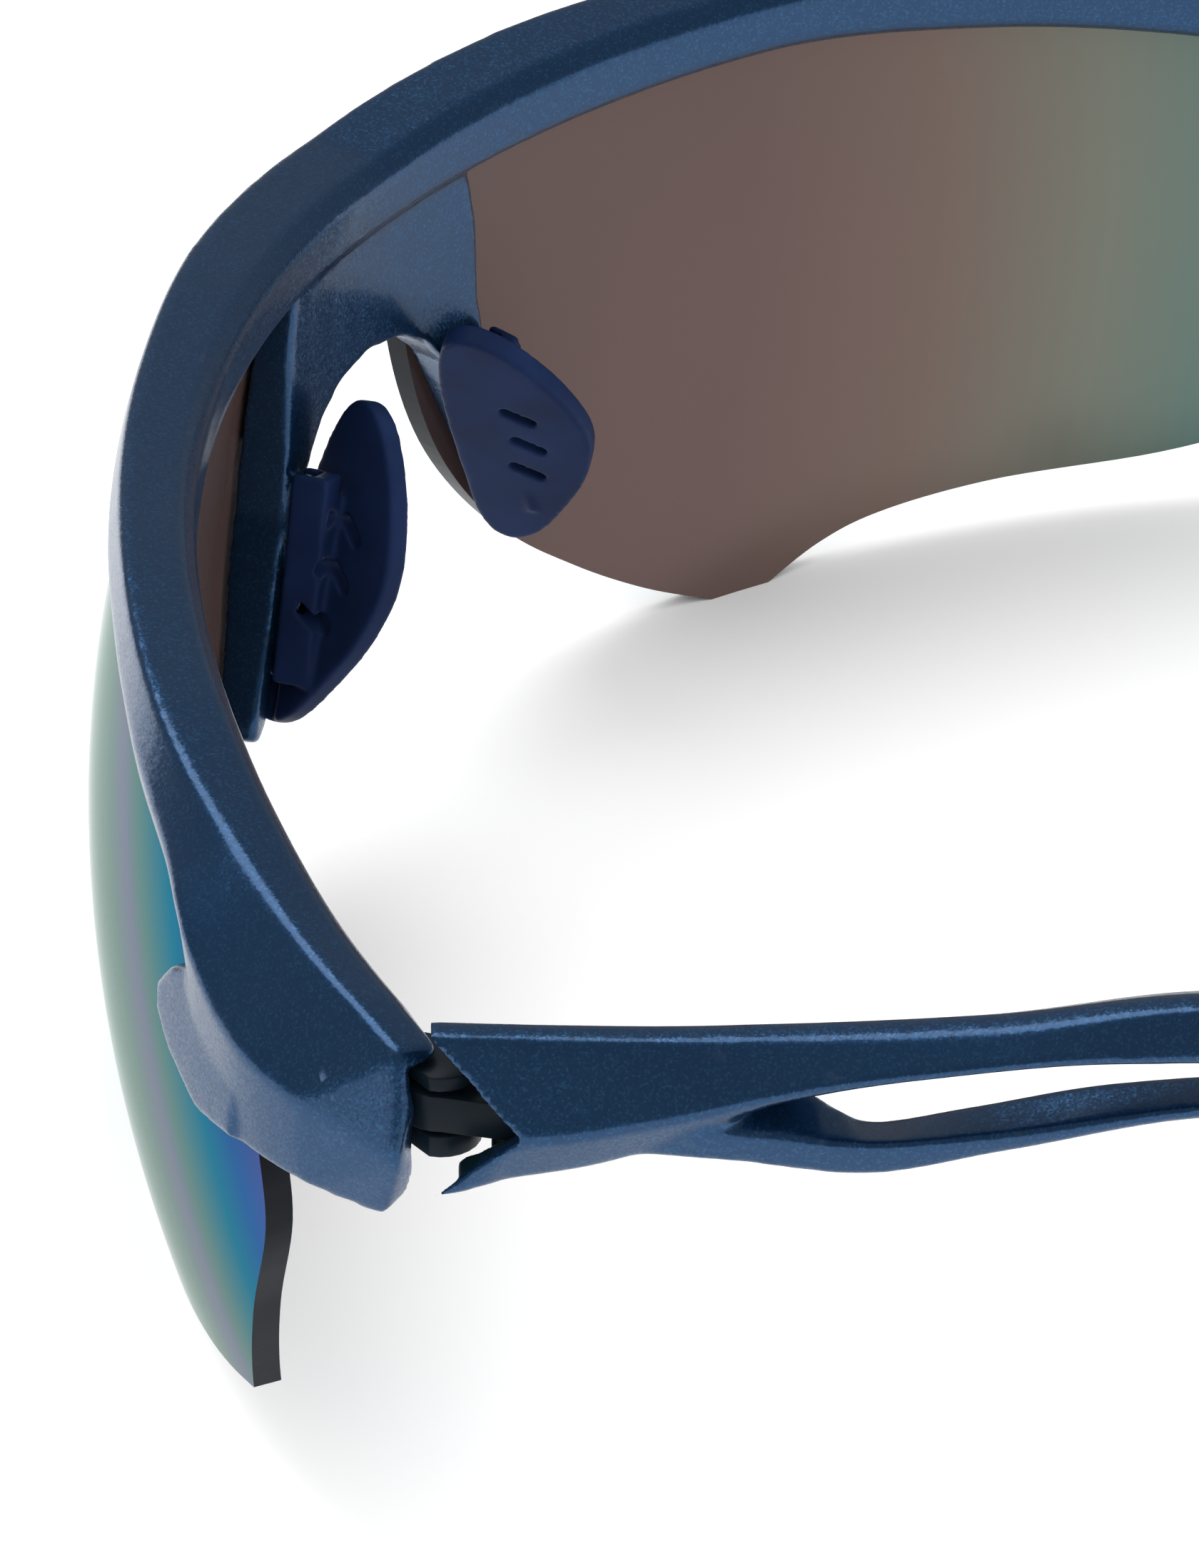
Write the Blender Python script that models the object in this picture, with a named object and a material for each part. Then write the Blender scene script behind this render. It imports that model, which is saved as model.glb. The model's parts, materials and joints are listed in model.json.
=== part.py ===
"""Wraparound sport sunglasses: half-rim front, two domed lenses and two folding forked temples.

The front is designed flat, as if the face were a straight wall, and then bent round the face
curve. Its flat coordinates are (s, n, z): s runs along the brow from the nose towards the
wearer's left, n is the distance out in front of the face curve, and z is the height above the
table. Each temple is designed in its own frame: w is outward, a is rearward along the temple,
z is the height, and the origin is on the hinge axis. Every size is in millimetres.
"""

import math

import bmesh
import bpy
from mathutils import Matrix, Vector

MM = 0.001                      # metres in a millimetre
LEFT = 1                        # the wearer's left is +X
RIGHT = -1
GAP = 0.3                       # clearance round a seated piece
BELOW = 20.0                    # a level under the hinges and end blocks, for tools that cut through

# Face curve: a quick turn at the nose, then a steady wrap.
BRIDGE_Y = -74.62
CENTRE_X = 0.415                # the nose is off the middle of the whole box, as one temple stands out
BRIDGE_TURN = 0.097             # radians turned in the bridge
BRIDGE_RUN = 7.0
WRAP_RADIUS = 80.0
CURVE_END = 100.0
CURVE_STEP = 0.5

# Lens: a domed shell that follows the face curve.
LENS_THICKNESS = 1.5
LENS_MIDDLE_Z = 21.5
LENS_DOME = 3.85                # how far the outer face stands in front of the face curve at mid height
LENS_RADIUS_BELOW = 61.0
LENS_RADIUS_ABOVE = 52.0
LENS_FLAT = (27.2, 31.2)        # the short level edge that the front rests on
LENS_RIM_RUN = [(73.4, 7.5), (66.5, 5.3), (57, 3.4), (46, 3.0), (39.0, 2.4), (35.0, 1.5), (LENS_FLAT[1], 0)]
LENS_NOSE_RUN = [(LENS_FLAT[0], 0), (22.8, 1.9), (18.2, 4.7), (13.6, 8.5), (9.8, 14.2), (7.6, 20.9),
                 (6.9, 27), (9, 32.5), (15, 36.4), (26, 38), (42, 37.9), (58, 36.8), (70, 34.6),
                 (75.4, 31.5)]
LENS_TEMPLE_RUN = [(75.4, 31.5), (77.0, 26), (78.2, 20.9), (76.0, 14.4), (73.4, 7.5)]

# Brow bar and end blocks: profiles along s, as (s, value) knots.
FRAME_END = 89.0
FRAME_STATIONS = (0, 3, 6, 9, 13, 18, 25, 33, 41, 49, 56, 62, 67, 70.4, 72, 73.6, 76, 79, 82)
BROW_TOP = [(0, 39.3), (10, 39.8), (20, 40.1), (43, 40.1), (57, 39.4), (66, 38.2), (76, 36.4), (89, 34.9)]
BROW_CREST = [(0, 2.8), (12, 2.8), (26, 2.2), (43, 1.9), (58, 2.1), (74, 1.2), (89, 1.0)]
BROW_REACH = [(0, 3.6), (10, 3.6), (19, 3.15), (28, 2.75), (36, 2.6), (46, 2.6), (53, 2.85), (60, 3.4),
              (66, 3.9), (72, 5.0), (77, 5.2), (83, 4.0), (86, 2.2), (89, 2.0)]
BROW_CREASE = [(0, 37.2), (30, 37.8), (57, 37.0), (69, 35.2), (76, 32.2), (84, 30.6), (89, 29.7)]
OUTER_EDGE = [(0, 35.2), (12, 35.5), (28, 36.4), (43, 36.2), (60, 35.3), (70.4, 33.6), (73.6, 25.6),
              (79, 26.0), (84, 26.0), (89, 25.5)]
INNER_EDGE = [(0, 34.5), (30, 35.3), (45, 33.8), (59, 31.4), (70, 29.0), (80, 27.5), (89, 26.7)]
BROW_BACK = -2.0
BLOCK_REAR_S = (85.8, 87.4, 86.0, 86.0, 84.8, 84.6, 85.6, 86.0)   # the rear face comes to a point
RIDGE_POINT = 1

# Bridge saddle with the two pad arms, right half of the outline.
SADDLE_OUTLINE = [(0, 36.2), (8.5, 36.2), (9.6, 31), (9.8, 26), (10.6, 21.4), (12.9, 15.2), (15.5, 11.0),
                  (15.7, 9.9), (14.8, 9.2), (13.5, 9.9), (10.6, 14.6), (8.6, 19.6), (7.3, 22.6),
                  (5.4, 24.9), (3.0, 26.3), (0, 26.8)]
SADDLE_DEPTH = (-1.0, 2.8)
CLAW_OUTLINE = [(68.0, 29.3), (69.2, 30.9), (71.3, 31.9), (75, 33), (77.5, 31), (77.5, 26.2), (73.8, 25.5),
                (70.2, 26.7), (68.4, 27.9)]
CLAW_CLEARANCE = 0.4
CLAW_THICKNESS = 1.4

# Nose pads: a soft wing on a tongue of the pad arm.
PAD_AXIS = [(9.35, 23.8), (10.75, 18.3), (12.75, 12.7)]          # tongue's middle line, as (s, z)
PAD_TONGUE_WIDTH = 0.9
PAD_TONGUE_DEPTH = (-0.8, -2.2)
PAD_ROOT_WIDTH = 3.4
PAD_ROOT_DEPTH = (-1.3, -3.5)
PAD_CENTRE = (9.3, 5.7, 18.3)   # x, distance behind the bridge, z
PAD_DOWN = (0.42, -0.06, -0.905)
PAD_BACK = (0.35, 0.937, 0.0)
PAD_THICKNESS = 1.4
PAD_FACE = -1.28                # the wing starts behind this depth, clear of the pad arm
PAD_OUTLINE = [(-2.4, -9.6), (-0.4, -8.8), (1.7, -6.2), (3.1, -3.2), (3.6, -0.4), (2.8, 2.8), (1.0, 6.0),
               (-1.0, 8.6), (-2.9, 9.3), (-4.2, 7.6), (-4.5, 3), (-4.5, -4), (-3.8, -8.2)]
PAD_SLOTS = [(-0.25, -2.65), (-0.1, 0.0), (-0.6, 2.5)]
PAD_SLOT_LENGTH = 2.3
PAD_SLOT_WIDTH = 0.7
PAD_SLOT_ANGLE = math.radians(34)

# Hinge: two ears on the front, a tongue on the temple, a screw from above and a nut below.
HINGE_X = 64.4
HINGE_BEHIND_BRIDGE = 48.2
HINGE_RADIUS = 2.0
HINGE_LOWER_EAR = (29.0, 30.2)
HINGE_TONGUE_Z = (30.5, 32.5)
HINGE_UPPER_EAR = (32.8, 33.6)
HINGE_ROOF = 33.9               # the end block closes over the hinge above this height
TANG_ANGLE = math.radians(23.5)  # the block's rear points this far outward of straight back
TANG_SIDE = (0.5, 2.3)
TANG_REACH = 8.0
TANG_WEB = 2.6
TANG_Z = (29.6, 33.0)
EAR_INSET = 0.25                # the ears are this much narrower than the tang on each side
TANG_BACK = -0.6
RECESS_CLEARANCE = 0.35
SCREW_RADIUS = 0.7
SCREW_BORE = 0.82
SCREW_HEAD_RADIUS = 1.25
SCREW_HEAD_HEIGHT = 0.5
SCREW_HEAD_CHAMFER = 0.2
SCREW_SEAT = 0.05               # the head's clearance under the lower ear
SCREW_DRIVE_WIDTH = 0.3
SCREW_DRIVE_DEPTH = 0.25
NUT_RADIUS = 1.3
NUT_BORE = 1.42
NUT_TOP = 33.2
NUT_SEAT_TOP = 33.3             # the bore ends here, so the upper ear hides it

# Temple: profiles along a, as (a, value) knots.
REST_FOLD = {LEFT: math.radians(34), RIGHT: 0.0}
ARM_OUTER_W = 4.9
ARM_INNER_W = 0.4
ARM_STATIONS = (-1.4, 1, 4, 7, 10, 13.5, 17, 21, 26, 32, 37, 43, 49, 54, 58)
ARM_TOP = [(-1.4, 36.55), (3, 36.4), (10, 36.3), (17, 36.5), (26, 37.1), (37, 38.5), (45, 38.3), (58, 37.1)]
ARM_TOP_W = [(-1.4, 2.7), (17, 3.0), (37, 3.7), (58, 4.1)]
ARM_CREASE = [(-1.4, 31.8), (4, 31.8), (10, 32.8), (17, 34.6), (23, 35.5), (32, 36.35), (42, 36.4),
              (58, 34.2)]
ARM_BOTTOM = [(-1.4, 28.2), (1, 28.5), (3.4, 28.8), (7.6, 29.6), (12, 31.4), (16, 33.6), (23, 35.0),
              (32, 35.85), (42, 35.9), (50, 34.0), (58, 30.8)]
ARM_BOTTOM_W = [(-1.4, 4.6), (1, 4.4), (3.4, 3.6), (8, 3.6), (17, 4.5), (58, 4.5)]
FORK_STATIONS = (8.5, 11, 14, 17, 20, 23, 27, 32, 37, 43, 49, 55)
FORK_LOW = [(8.5, 30.1), (13, 30.2), (20, 29.6), (27, 30.9), (37, 32.7), (48, 32.8), (55, 31.8)]
FORK_FACE = [(8.5, 1.4), (14, 1.9), (20, 2.1), (27, 1.3), (34, 0.9), (55, 1.2)]
FORK_INNER_TOP = [(8.5, 32.4), (14, 33.2), (17, 33.0), (20.5, 31.0), (25, 31.8), (32, 33.2), (37, 33.6),
                  (45, 33.8), (50, 34.2), (55, 34.4)]
FORK_OUTER_W = [(8.5, 3.7), (14, 4.6), (20, 4.9), (55, 4.6)]
FORK_INNER_W = 1.5
EAR_PATH = [(63, 33.1), (70, 31.0), (78, 27.6), (86, 22.6), (93.5, 15.7), (99.2, 8.0), (102.2, 1.9)]
EAR_HEIGHT = [(58, 6.2), (70, 5.6), (86, 5.4), (96, 5.8), (105, 4.6)]
EAR_OUTER_W = [(58, 4.8), (80, 4.7), (105, 1.6)]
EAR_WIDTH = [(58, 3.3), (70, 3.2), (92, 3.4), (105, 2.8)]
FLOOR_OUTLINE = [(-20, 85), (20, 85), (20, 115), (-20, 115)]     # under the ear tips, as (w, a)
CORE_HEIGHT = 2.6
CORE_WIDTH = 1.4
SLEEVE_START = 1                # ear path point where the rubber sleeve begins
CORE_END = 5                    # ear path point where the core inside it ends
MOUTH = [(-6, 38), (-2.1, 38), (3.8, 31.8), (-0.7, 28.1), (-1.2, 26.6), (-6, 26.6)]    # V shape, as (a, z)
MOUTH_SIDES = (-3.5, 8.0)
LIP = (4.15, 2.4, 30.0)         # the lip's inner face, where the floor begins behind it, and its top
CAVITY_FRONT = [(3.8, 31.8), (2.2, 34.9), (-2.6, 34.9), (-2.6, 29.7), (2.9, 29.7)]
CAVITY_BACK = [(3.8, 31.8), (2.2, 34.9), (1.4, 34.9), (1.4, 30.1), (2.9, 30.1)]
CAVITY_START = -4.0
CAVITY_SPLIT = 4.8
CAVITY_END = 7.6
TONGUE_SIDE = (1.7, 3.0)
TONGUE_ROOT = 4.2
TONGUE_END = 12.4

NAVY = (0.022, 0.05, 0.105, 1.0)
COLOURS = {
    "navy_paint": (NAVY, 0.28, 0.55),
    "mirror_lens": ((0.05, 0.16, 0.17, 1.0), 0.08, 0.6),
    "indigo_rubber": ((0.012, 0.016, 0.045, 1.0), 0.5, 0.0),
    "hinge_black": ((0.012, 0.013, 0.02, 1.0), 0.35, 0.0),
    "screw_steel": ((0.5, 0.5, 0.52, 1.0), 0.3, 1.0),
}


def profile(knots):
    """A smooth function through (position, value) knots that never overshoots them."""
    xs = [float(k[0]) for k in knots]
    ys = [float(k[1]) for k in knots]
    rises = [(ys[i + 1] - ys[i]) / (xs[i + 1] - xs[i]) for i in range(len(xs) - 1)]
    slopes = [rises[0]]
    for before, after in zip(rises, rises[1:]):
        slopes.append(2 * before * after / (before + after) if before * after > 0 else 0.0)
    slopes.append(rises[-1])

    def value(x):
        x = min(max(x, xs[0]), xs[-1])
        i = max(k for k in range(len(xs) - 1) if xs[k] <= x)
        width = xs[i + 1] - xs[i]
        t = (x - xs[i]) / width
        return (ys[i] * (1 + 2 * t) * (1 - t) ** 2 + ys[i + 1] * t * t * (3 - 2 * t)
                + slopes[i] * width * t * (1 - t) ** 2 - slopes[i + 1] * width * t * t * (1 - t))

    return value


def smooth_run(points, steps=3, closed=False):
    """Points along a smooth curve through the given 2-D points, without the last one if open."""
    count = len(points)
    spans = count if closed else count - 1
    result = []
    for i in range(spans):
        if closed:
            p = [Vector(points[(i + k) % count]) for k in (-1, 0, 1, 2)]
        else:
            p = [Vector(points[min(max(i + k, 0), count - 1)]) for k in (-1, 0, 1, 2)]
        for j in range(steps):
            t = j / steps
            square = 2 * p[0] - 5 * p[1] + 4 * p[2] - p[3]
            cube = 3 * p[1] - p[0] - 3 * p[2] + p[3]
            result.append(0.5 * (2 * p[1] + (p[2] - p[0]) * t + square * t ** 2 + cube * t ** 3))
    return result


def grown(outline, distance):
    """The closed outline moved outward by a distance."""
    count = len(outline)
    area = sum(outline[i - 1].x * outline[i].y - outline[i].x * outline[i - 1].y for i in range(count))
    turn = math.copysign(1.0, area)
    result = []
    for i, point in enumerate(outline):
        along = (outline[(i + 1) % count] - outline[i - 1]).normalized()
        result.append(point + Vector((along.y, -along.x)) * turn * distance)
    return result


def face_heading(s):
    """How far the face curve has turned back at a distance s from the nose, in radians."""
    return BRIDGE_TURN * (1 - math.exp(-s / BRIDGE_RUN)) + s / WRAP_RADIUS


def face_curve():
    """Points of the face curve in plan, one per step, from the nose to the hinge."""
    points = [Vector((0, BRIDGE_Y))]
    for i in range(int(CURVE_END / CURVE_STEP)):
        turned = face_heading((i + 0.5) * CURVE_STEP)
        points.append(points[-1] + Vector((math.cos(turned), math.sin(turned))) * CURVE_STEP)
    return points


CURVE_POINTS = face_curve()


def bend(s, n, z):
    """The place in space of flat front coordinates."""
    reach = abs(s)
    i = min(int(reach / CURVE_STEP), len(CURVE_POINTS) - 2)
    base = CURVE_POINTS[i].lerp(CURVE_POINTS[i + 1], reach / CURVE_STEP - i)
    turned = face_heading(reach)
    side = math.copysign(1.0, s)
    return Vector((CENTRE_X + side * (base.x + n * math.sin(turned)), base.y - n * math.cos(turned), z))


def lens_front(z):
    """How far the lens's outer face stands in front of the face curve at a height."""
    radius = LENS_RADIUS_ABOVE if z > LENS_MIDDLE_Z else LENS_RADIUS_BELOW
    return LENS_DOME - (z - LENS_MIDDLE_Z) ** 2 / (2 * radius)


def clear_scene():
    """Empty the scene."""
    for obj in list(bpy.data.objects):
        bpy.data.objects.remove(obj, do_unlink=True)


def material(name):
    """The named material, made once."""
    found = bpy.data.materials.get(name)
    if found:
        return found
    colour, roughness, metallic = COLOURS[name]
    made = bpy.data.materials.new(name)
    made.use_nodes = True
    shader = made.node_tree.nodes["Principled BSDF"]
    shader.inputs["Base Color"].default_value = colour
    shader.inputs["Roughness"].default_value = roughness
    shader.inputs["Metallic"].default_value = metallic
    made.diffuse_color = colour
    return made


def add_object(name, bm, finish=None, parent=None, smooth=math.radians(35)):
    """An object with its mesh in millimetres, scaled to metres; with no finish it is a hidden tool."""
    bmesh.ops.recalc_face_normals(bm, faces=bm.faces)
    if bm.calc_volume(signed=True) < 0:
        bmesh.ops.reverse_faces(bm, faces=bm.faces)
    mesh = bpy.data.meshes.new(name)
    bm.to_mesh(mesh)
    bm.free()
    mesh.shade_smooth()
    mesh.set_sharp_from_angle(angle=smooth)
    obj = bpy.data.objects.new(name, mesh)
    bpy.context.scene.collection.objects.link(obj)
    obj.scale = (MM, MM, MM)
    obj.parent = parent
    if finish:
        mesh.materials.append(material(finish))
    else:
        obj.hide_render = True
        obj.display_type = "WIRE"
    return obj


def combine(target, tool, operation):
    """Join a tool to an object, or cut it away."""
    modifier = target.modifiers.new(tool.name, "BOOLEAN")
    modifier.operation = operation
    modifier.solver = "EXACT"
    modifier.object = tool


def loft(sections, apex=None):
    """A closed skin through rings of points; its ends are flat, or fans from one point of the ring."""
    bm = bmesh.new()
    rings = [[bm.verts.new(point) for point in section] for section in sections]
    for first, second in zip(rings, rings[1:]):
        for i in range(len(first)):
            bm.faces.new((first[i - 1], first[i], second[i], second[i - 1]))
    for end in (rings[0], rings[-1]):
        if apex is None:
            bm.faces.new(end)
        else:
            turned_end = end[apex:] + end[:apex]
            for second, third in zip(turned_end[1:], turned_end[2:]):
                bm.faces.new((turned_end[0], second, third))
    bmesh.ops.triangulate(bm, faces=bm.faces)
    return bm


def prism(outline, low, high, place):
    """A solid between two levels of a flat outline; place(u, v, level) puts a point in space."""
    return loft([[place(point[0], point[1], level) for point in outline] for level in (low, high)])


def front_plate(outline, back, front, side=LEFT, cell=6.0):
    """A plate bent with the front; back(z) and front(z) give its two faces' distances n."""
    bm = bmesh.new()
    bm.faces.new([bm.verts.new((point[0], 0, point[1])) for point in outline])
    for axis in (0, 2):
        normal = Vector((1 - axis / 2, 0, axis / 2))
        reach = [v.co[axis] for v in bm.verts]
        cuts = int((max(reach) - min(reach)) / cell)
        for i in range(1, cuts + 1):
            at = min(reach) + (max(reach) - min(reach)) * i / (cuts + 1)
            geometry = bm.verts[:] + bm.edges[:] + bm.faces[:]
            bmesh.ops.bisect_plane(bm, geom=geometry, plane_co=normal * at, plane_no=normal, dist=1e-6)
    bmesh.ops.triangulate(bm, faces=bm.faces)
    first_layer = set(bm.verts)
    bmesh.ops.extrude_face_region(bm, geom=bm.faces[:], use_keep_orig=True)
    for v in bm.verts:
        s, z = v.co.x, v.co.z
        n = front(z) if v in first_layer else back(z)
        v.co = bend(s * side, n, z)
    return bm


def constant(value):
    """A function that always gives one value."""
    return lambda z: value


def lens_outline():
    """The lens's edge line, as (s, z) points."""
    flat_end = [Vector((LENS_FLAT[1], 0))]
    return smooth_run(LENS_RIM_RUN) + flat_end + smooth_run(LENS_NOSE_RUN) + smooth_run(LENS_TEMPLE_RUN)


def lens(side, name):
    """A domed lens, glazed into the frame's groove along its top and nose edges."""
    bm = front_plate(lens_outline(), lambda z: lens_front(z) - LENS_THICKNESS, lens_front, side)
    return add_object(name, bm, "mirror_lens")


def lens_pocket(side):
    """The lens with clearance all round, which cuts the frame's groove."""
    outline = grown(lens_outline(), GAP)
    bm = front_plate(outline, lambda z: lens_front(z) - LENS_THICKNESS - GAP,
                     lambda z: lens_front(z) + GAP, side)
    return add_object(f"tool_lens_pocket_{side_name(side)}", bm)


def side_name(side):
    """The side as a word."""
    return "left" if side == LEFT else "right"


def hinge_point(side, w, a, z):
    """A point from hinge-centred coordinates on the front: w outward, a rearward."""
    return Vector((CENTRE_X + side * (HINGE_X + w), BRIDGE_Y + HINGE_BEHIND_BRIDGE + a, z))


def tang_point(side, w, a, z):
    """Like hinge_point, in the slanted direction of the end block."""
    cos, sin = math.cos(TANG_ANGLE), math.sin(TANG_ANGLE)
    return hinge_point(side, w * cos + a * sin, a * cos - w * sin, z)


def arc(radius, start, end, steps, centre=(0.0, 0.0)):
    """Points round part of a circle, angles in degrees."""
    angles = [math.radians(start + (end - start) * i / steps) for i in range(steps + 1)]
    return [Vector((centre[0] + radius * math.cos(t), centre[1] + radius * math.sin(t))) for t in angles]


def frame_section(s, rear=False):
    """The bar's closed section at a distance s from the nose, as points in space."""
    reach = abs(s)
    top = profile(BROW_TOP)(reach)
    out = profile(BROW_REACH)(reach)
    low = profile(INNER_EDGE)(reach)
    points = [(out - 0.2, profile(OUTER_EDGE)(reach)), (out, profile(BROW_CREASE)(reach)),
              (profile(BROW_CREST)(reach), top), (-1.2, top - 0.5), (BROW_BACK, top - 1.5),
              (BROW_BACK, low + 0.7), (BROW_BACK + 0.7, low), (0.4, low)]
    places = BLOCK_REAR_S if rear else [reach] * len(points)
    side = math.copysign(1.0, s)
    return [bend(side * place, n, z) for place, (n, z) in zip(places, points)]


def brow_bar():
    """The brow bar with both end blocks, in one loft from block to block."""
    half = [frame_section(s) for s in FRAME_STATIONS] + [frame_section(FRAME_END, rear=True)]
    other = [frame_section(-s) for s in FRAME_STATIONS[1:]] + [frame_section(-FRAME_END, rear=True)]
    return loft(other[::-1] + half, apex=RIDGE_POINT)


def saddle_outline():
    """The whole outline of the bridge saddle and its two pad arms."""
    return [Vector(point) for point in SADDLE_OUTLINE + [(-s, z) for s, z in SADDLE_OUTLINE[-2:0:-1]]]


def front_frame():
    """The half-rim front: brow bar, bridge saddle with pad arms, and a claw over each lens."""
    frame = add_object("front_frame", brow_bar(), "navy_paint")
    saddle = front_plate(saddle_outline(), constant(SADDLE_DEPTH[0]), constant(SADDLE_DEPTH[1]), cell=3.0)
    combine(frame, add_object("tool_saddle", saddle), "UNION")
    for side in (LEFT, RIGHT):
        word = side_name(side)
        claw = front_plate(CLAW_OUTLINE, lambda z: lens_front(z) + CLAW_CLEARANCE,
                           lambda z: lens_front(z) + CLAW_CLEARANCE + CLAW_THICKNESS, side)
        combine(frame, add_object(f"tool_claw_{word}", claw), "UNION")
        tongue = pad_strip(side, PAD_TONGUE_WIDTH, PAD_TONGUE_DEPTH)
        combine(frame, add_object(f"tool_pad_tongue_{word}", tongue), "UNION")
        combine(frame, lens_pocket(side), "DIFFERENCE")
        combine(frame, hinge_recess(side), "DIFFERENCE")
        combine(frame, tang_pocket(side), "DIFFERENCE")
    return frame


def pad_strip(side, width, depth, extra=0.0):
    """A straight-sided strip along the pad arm, between two depths."""
    line = [Vector(point) for point in PAD_AXIS]
    line[0] = line[0] + (line[0] - line[1]).normalized() * extra
    line[-1] = line[-1] + (line[-1] - line[-2]).normalized() * extra
    across = (line[0] - line[-1]).normalized().orthogonal() * width / 2
    outline = [point + across for point in line] + [point - across for point in line[::-1]]
    return front_plate(outline, constant(depth[1]), constant(depth[0]), side, cell=4.0)


def pad_point(side, back, down, level):
    """A point on the nose pad's wing: rearward, downward, and through its thickness."""
    down_axis = Vector(PAD_DOWN).normalized()
    back_axis = Vector(PAD_BACK)
    back_axis = (back_axis - down_axis * back_axis.dot(down_axis)).normalized()
    origin = Vector((PAD_CENTRE[0], BRIDGE_Y + PAD_CENTRE[1], PAD_CENTRE[2]))
    place = origin + back_axis * back + down_axis * down + back_axis.cross(down_axis) * level
    place.x = CENTRE_X + side * place.x
    return place


def slot_outline(centre):
    """A round-ended slot on the pad, as (back, down) points."""
    radius = PAD_SLOT_WIDTH / 2
    half = PAD_SLOT_LENGTH / 2 - radius
    ends = arc(radius, -90, 90, 5, (half, 0)) + arc(radius, 90, 270, 5, (-half, 0))
    turn = Matrix.Rotation(-PAD_SLOT_ANGLE, 3, "Z")
    return [point.to_3d() @ turn + Vector((*centre, 0)) for point in ends]


def nose_pad(side, name):
    """A soft wing with three slots, moulded round a channel that grips the arm's tongue."""
    half = PAD_THICKNESS / 2
    outline = smooth_run(PAD_OUTLINE, 2, closed=True)
    wing = prism(outline, -half, half, lambda u, v, level: pad_point(side, u, v, level))
    pad = add_object(name, wing, "indigo_rubber")
    root = pad_strip(side, PAD_ROOT_WIDTH, PAD_ROOT_DEPTH, extra=0.8)
    combine(pad, add_object(f"tool_{name}_root", root), "UNION")
    depth = (PAD_TONGUE_DEPTH[0] + GAP, PAD_TONGUE_DEPTH[1] - GAP)
    channel = pad_strip(side, PAD_TONGUE_WIDTH + 2 * GAP, depth, extra=GAP)
    combine(pad, add_object(f"tool_{name}_channel", channel), "DIFFERENCE")
    clearance = front_plate(grown(saddle_outline(), GAP), constant(PAD_FACE),
                            constant(SADDLE_DEPTH[1]), cell=3.0)
    combine(pad, add_object(f"tool_{name}_clearance", clearance), "DIFFERENCE")
    for i, centre in enumerate(PAD_SLOTS):
        slot = prism(slot_outline(centre), -3 * half, 3 * half,
                     lambda u, v, level: pad_point(side, u, v, level))
        combine(pad, add_object(f"tool_{name}_slot_{i + 1}", slot), "DIFFERENCE")
    return pad


def hinge_recess(side):
    """The clearance in the end block for the hinge's round knuckle and the roots of its ears."""
    inner, outer, root = TANG_SIDE[0] + EAR_INSET - GAP, TANG_SIDE[1] + GAP, -TANG_WEB - 1 - GAP
    outline = arc(HINGE_RADIUS + RECESS_CLEARANCE, 0, 250, 17)
    outline += [Vector((inner, root)), Vector((outer, root)), Vector((outer, -1.0))]
    bm = prism(outline, BELOW, HINGE_ROOF, lambda u, v, z: tang_point(side, u, v, z))
    return add_object(f"tool_hinge_recess_{side_name(side)}", bm)


def tang_outline(extra=0.0):
    """The hinge block's tang, as (w, a) points in the block's direction."""
    inner, outer = TANG_SIDE[0] - extra, TANG_SIDE[1] + extra
    front = -TANG_REACH - extra
    return [(inner, front), (outer, front), (outer, TANG_BACK), (inner, TANG_BACK)]


def tang_pocket(side):
    """The pocket in the end block that holds the tang."""
    bm = prism(tang_outline(GAP), TANG_Z[0] - GAP, TANG_Z[1] + GAP,
               lambda u, v, z: tang_point(side, u, v, z))
    return add_object(f"tool_tang_pocket_{side_name(side)}", bm)


def ear(side, levels):
    """One ear of the hinge block, a round plate that runs forward into the tang."""
    inner, outer = TANG_SIDE[0] + EAR_INSET, TANG_SIDE[1] - EAR_INSET
    root = -TANG_WEB - 1
    outline = arc(HINGE_RADIUS, 40, 250, 14)
    outline += [Vector((inner, root)), Vector((outer, root)), Vector((outer - EAR_INSET, root + 1.8))]
    return prism(outline, levels[0], levels[1], lambda u, v, z: tang_point(side, u, v, z))


def bore(side, radius, name, low=BELOW, high=NUT_SEAT_TOP, parent=None):
    """A round tool on the hinge axis."""
    def place(u, v, z):
        return Vector((side * u, v, z)) if parent else hinge_point(side, u, v, z)
    return add_object(name, prism(arc(radius, 0, 345, 23), low, high, place), parent=parent)


def hinge_block(side, name):
    """The moulded insert in the end block: a tang with an upper and a lower ear."""
    outline = tang_outline()
    outline[2:] = [(TANG_SIDE[1], -TANG_WEB), (TANG_SIDE[0], -TANG_WEB)]
    tang = prism(outline, TANG_Z[0], TANG_Z[1], lambda u, v, z: tang_point(side, u, v, z))
    block = add_object(name, tang, "hinge_black")
    for word, levels in (("lower", HINGE_LOWER_EAR), ("upper", HINGE_UPPER_EAR)):
        combine(block, add_object(f"tool_{name}_{word}_ear", ear(side, levels)), "UNION")
    combine(block, bore(side, SCREW_BORE, f"tool_{name}_bore"), "DIFFERENCE")
    middle = sum(HINGE_TONGUE_Z) / 2
    combine(block, bore(side, NUT_BORE, f"tool_{name}_nut_seat", low=middle), "DIFFERENCE")
    return block


def turned(profile_points, steps=24):
    """A solid of revolution about the hinge axis from (radius, z) points."""
    sections = []
    bm = bmesh.new()
    for i in range(steps):
        angle = 2 * math.pi * i / steps
        cos, sin = math.cos(angle), math.sin(angle)
        sections.append([bm.verts.new((r * cos, r * sin, z)) for r, z in profile_points])
    for i in range(steps):
        first, second = sections[i - 1], sections[i]
        for j in range(len(profile_points)):
            bm.faces.new((first[j - 1], first[j], second[j], second[j - 1]))
    return bm


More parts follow.
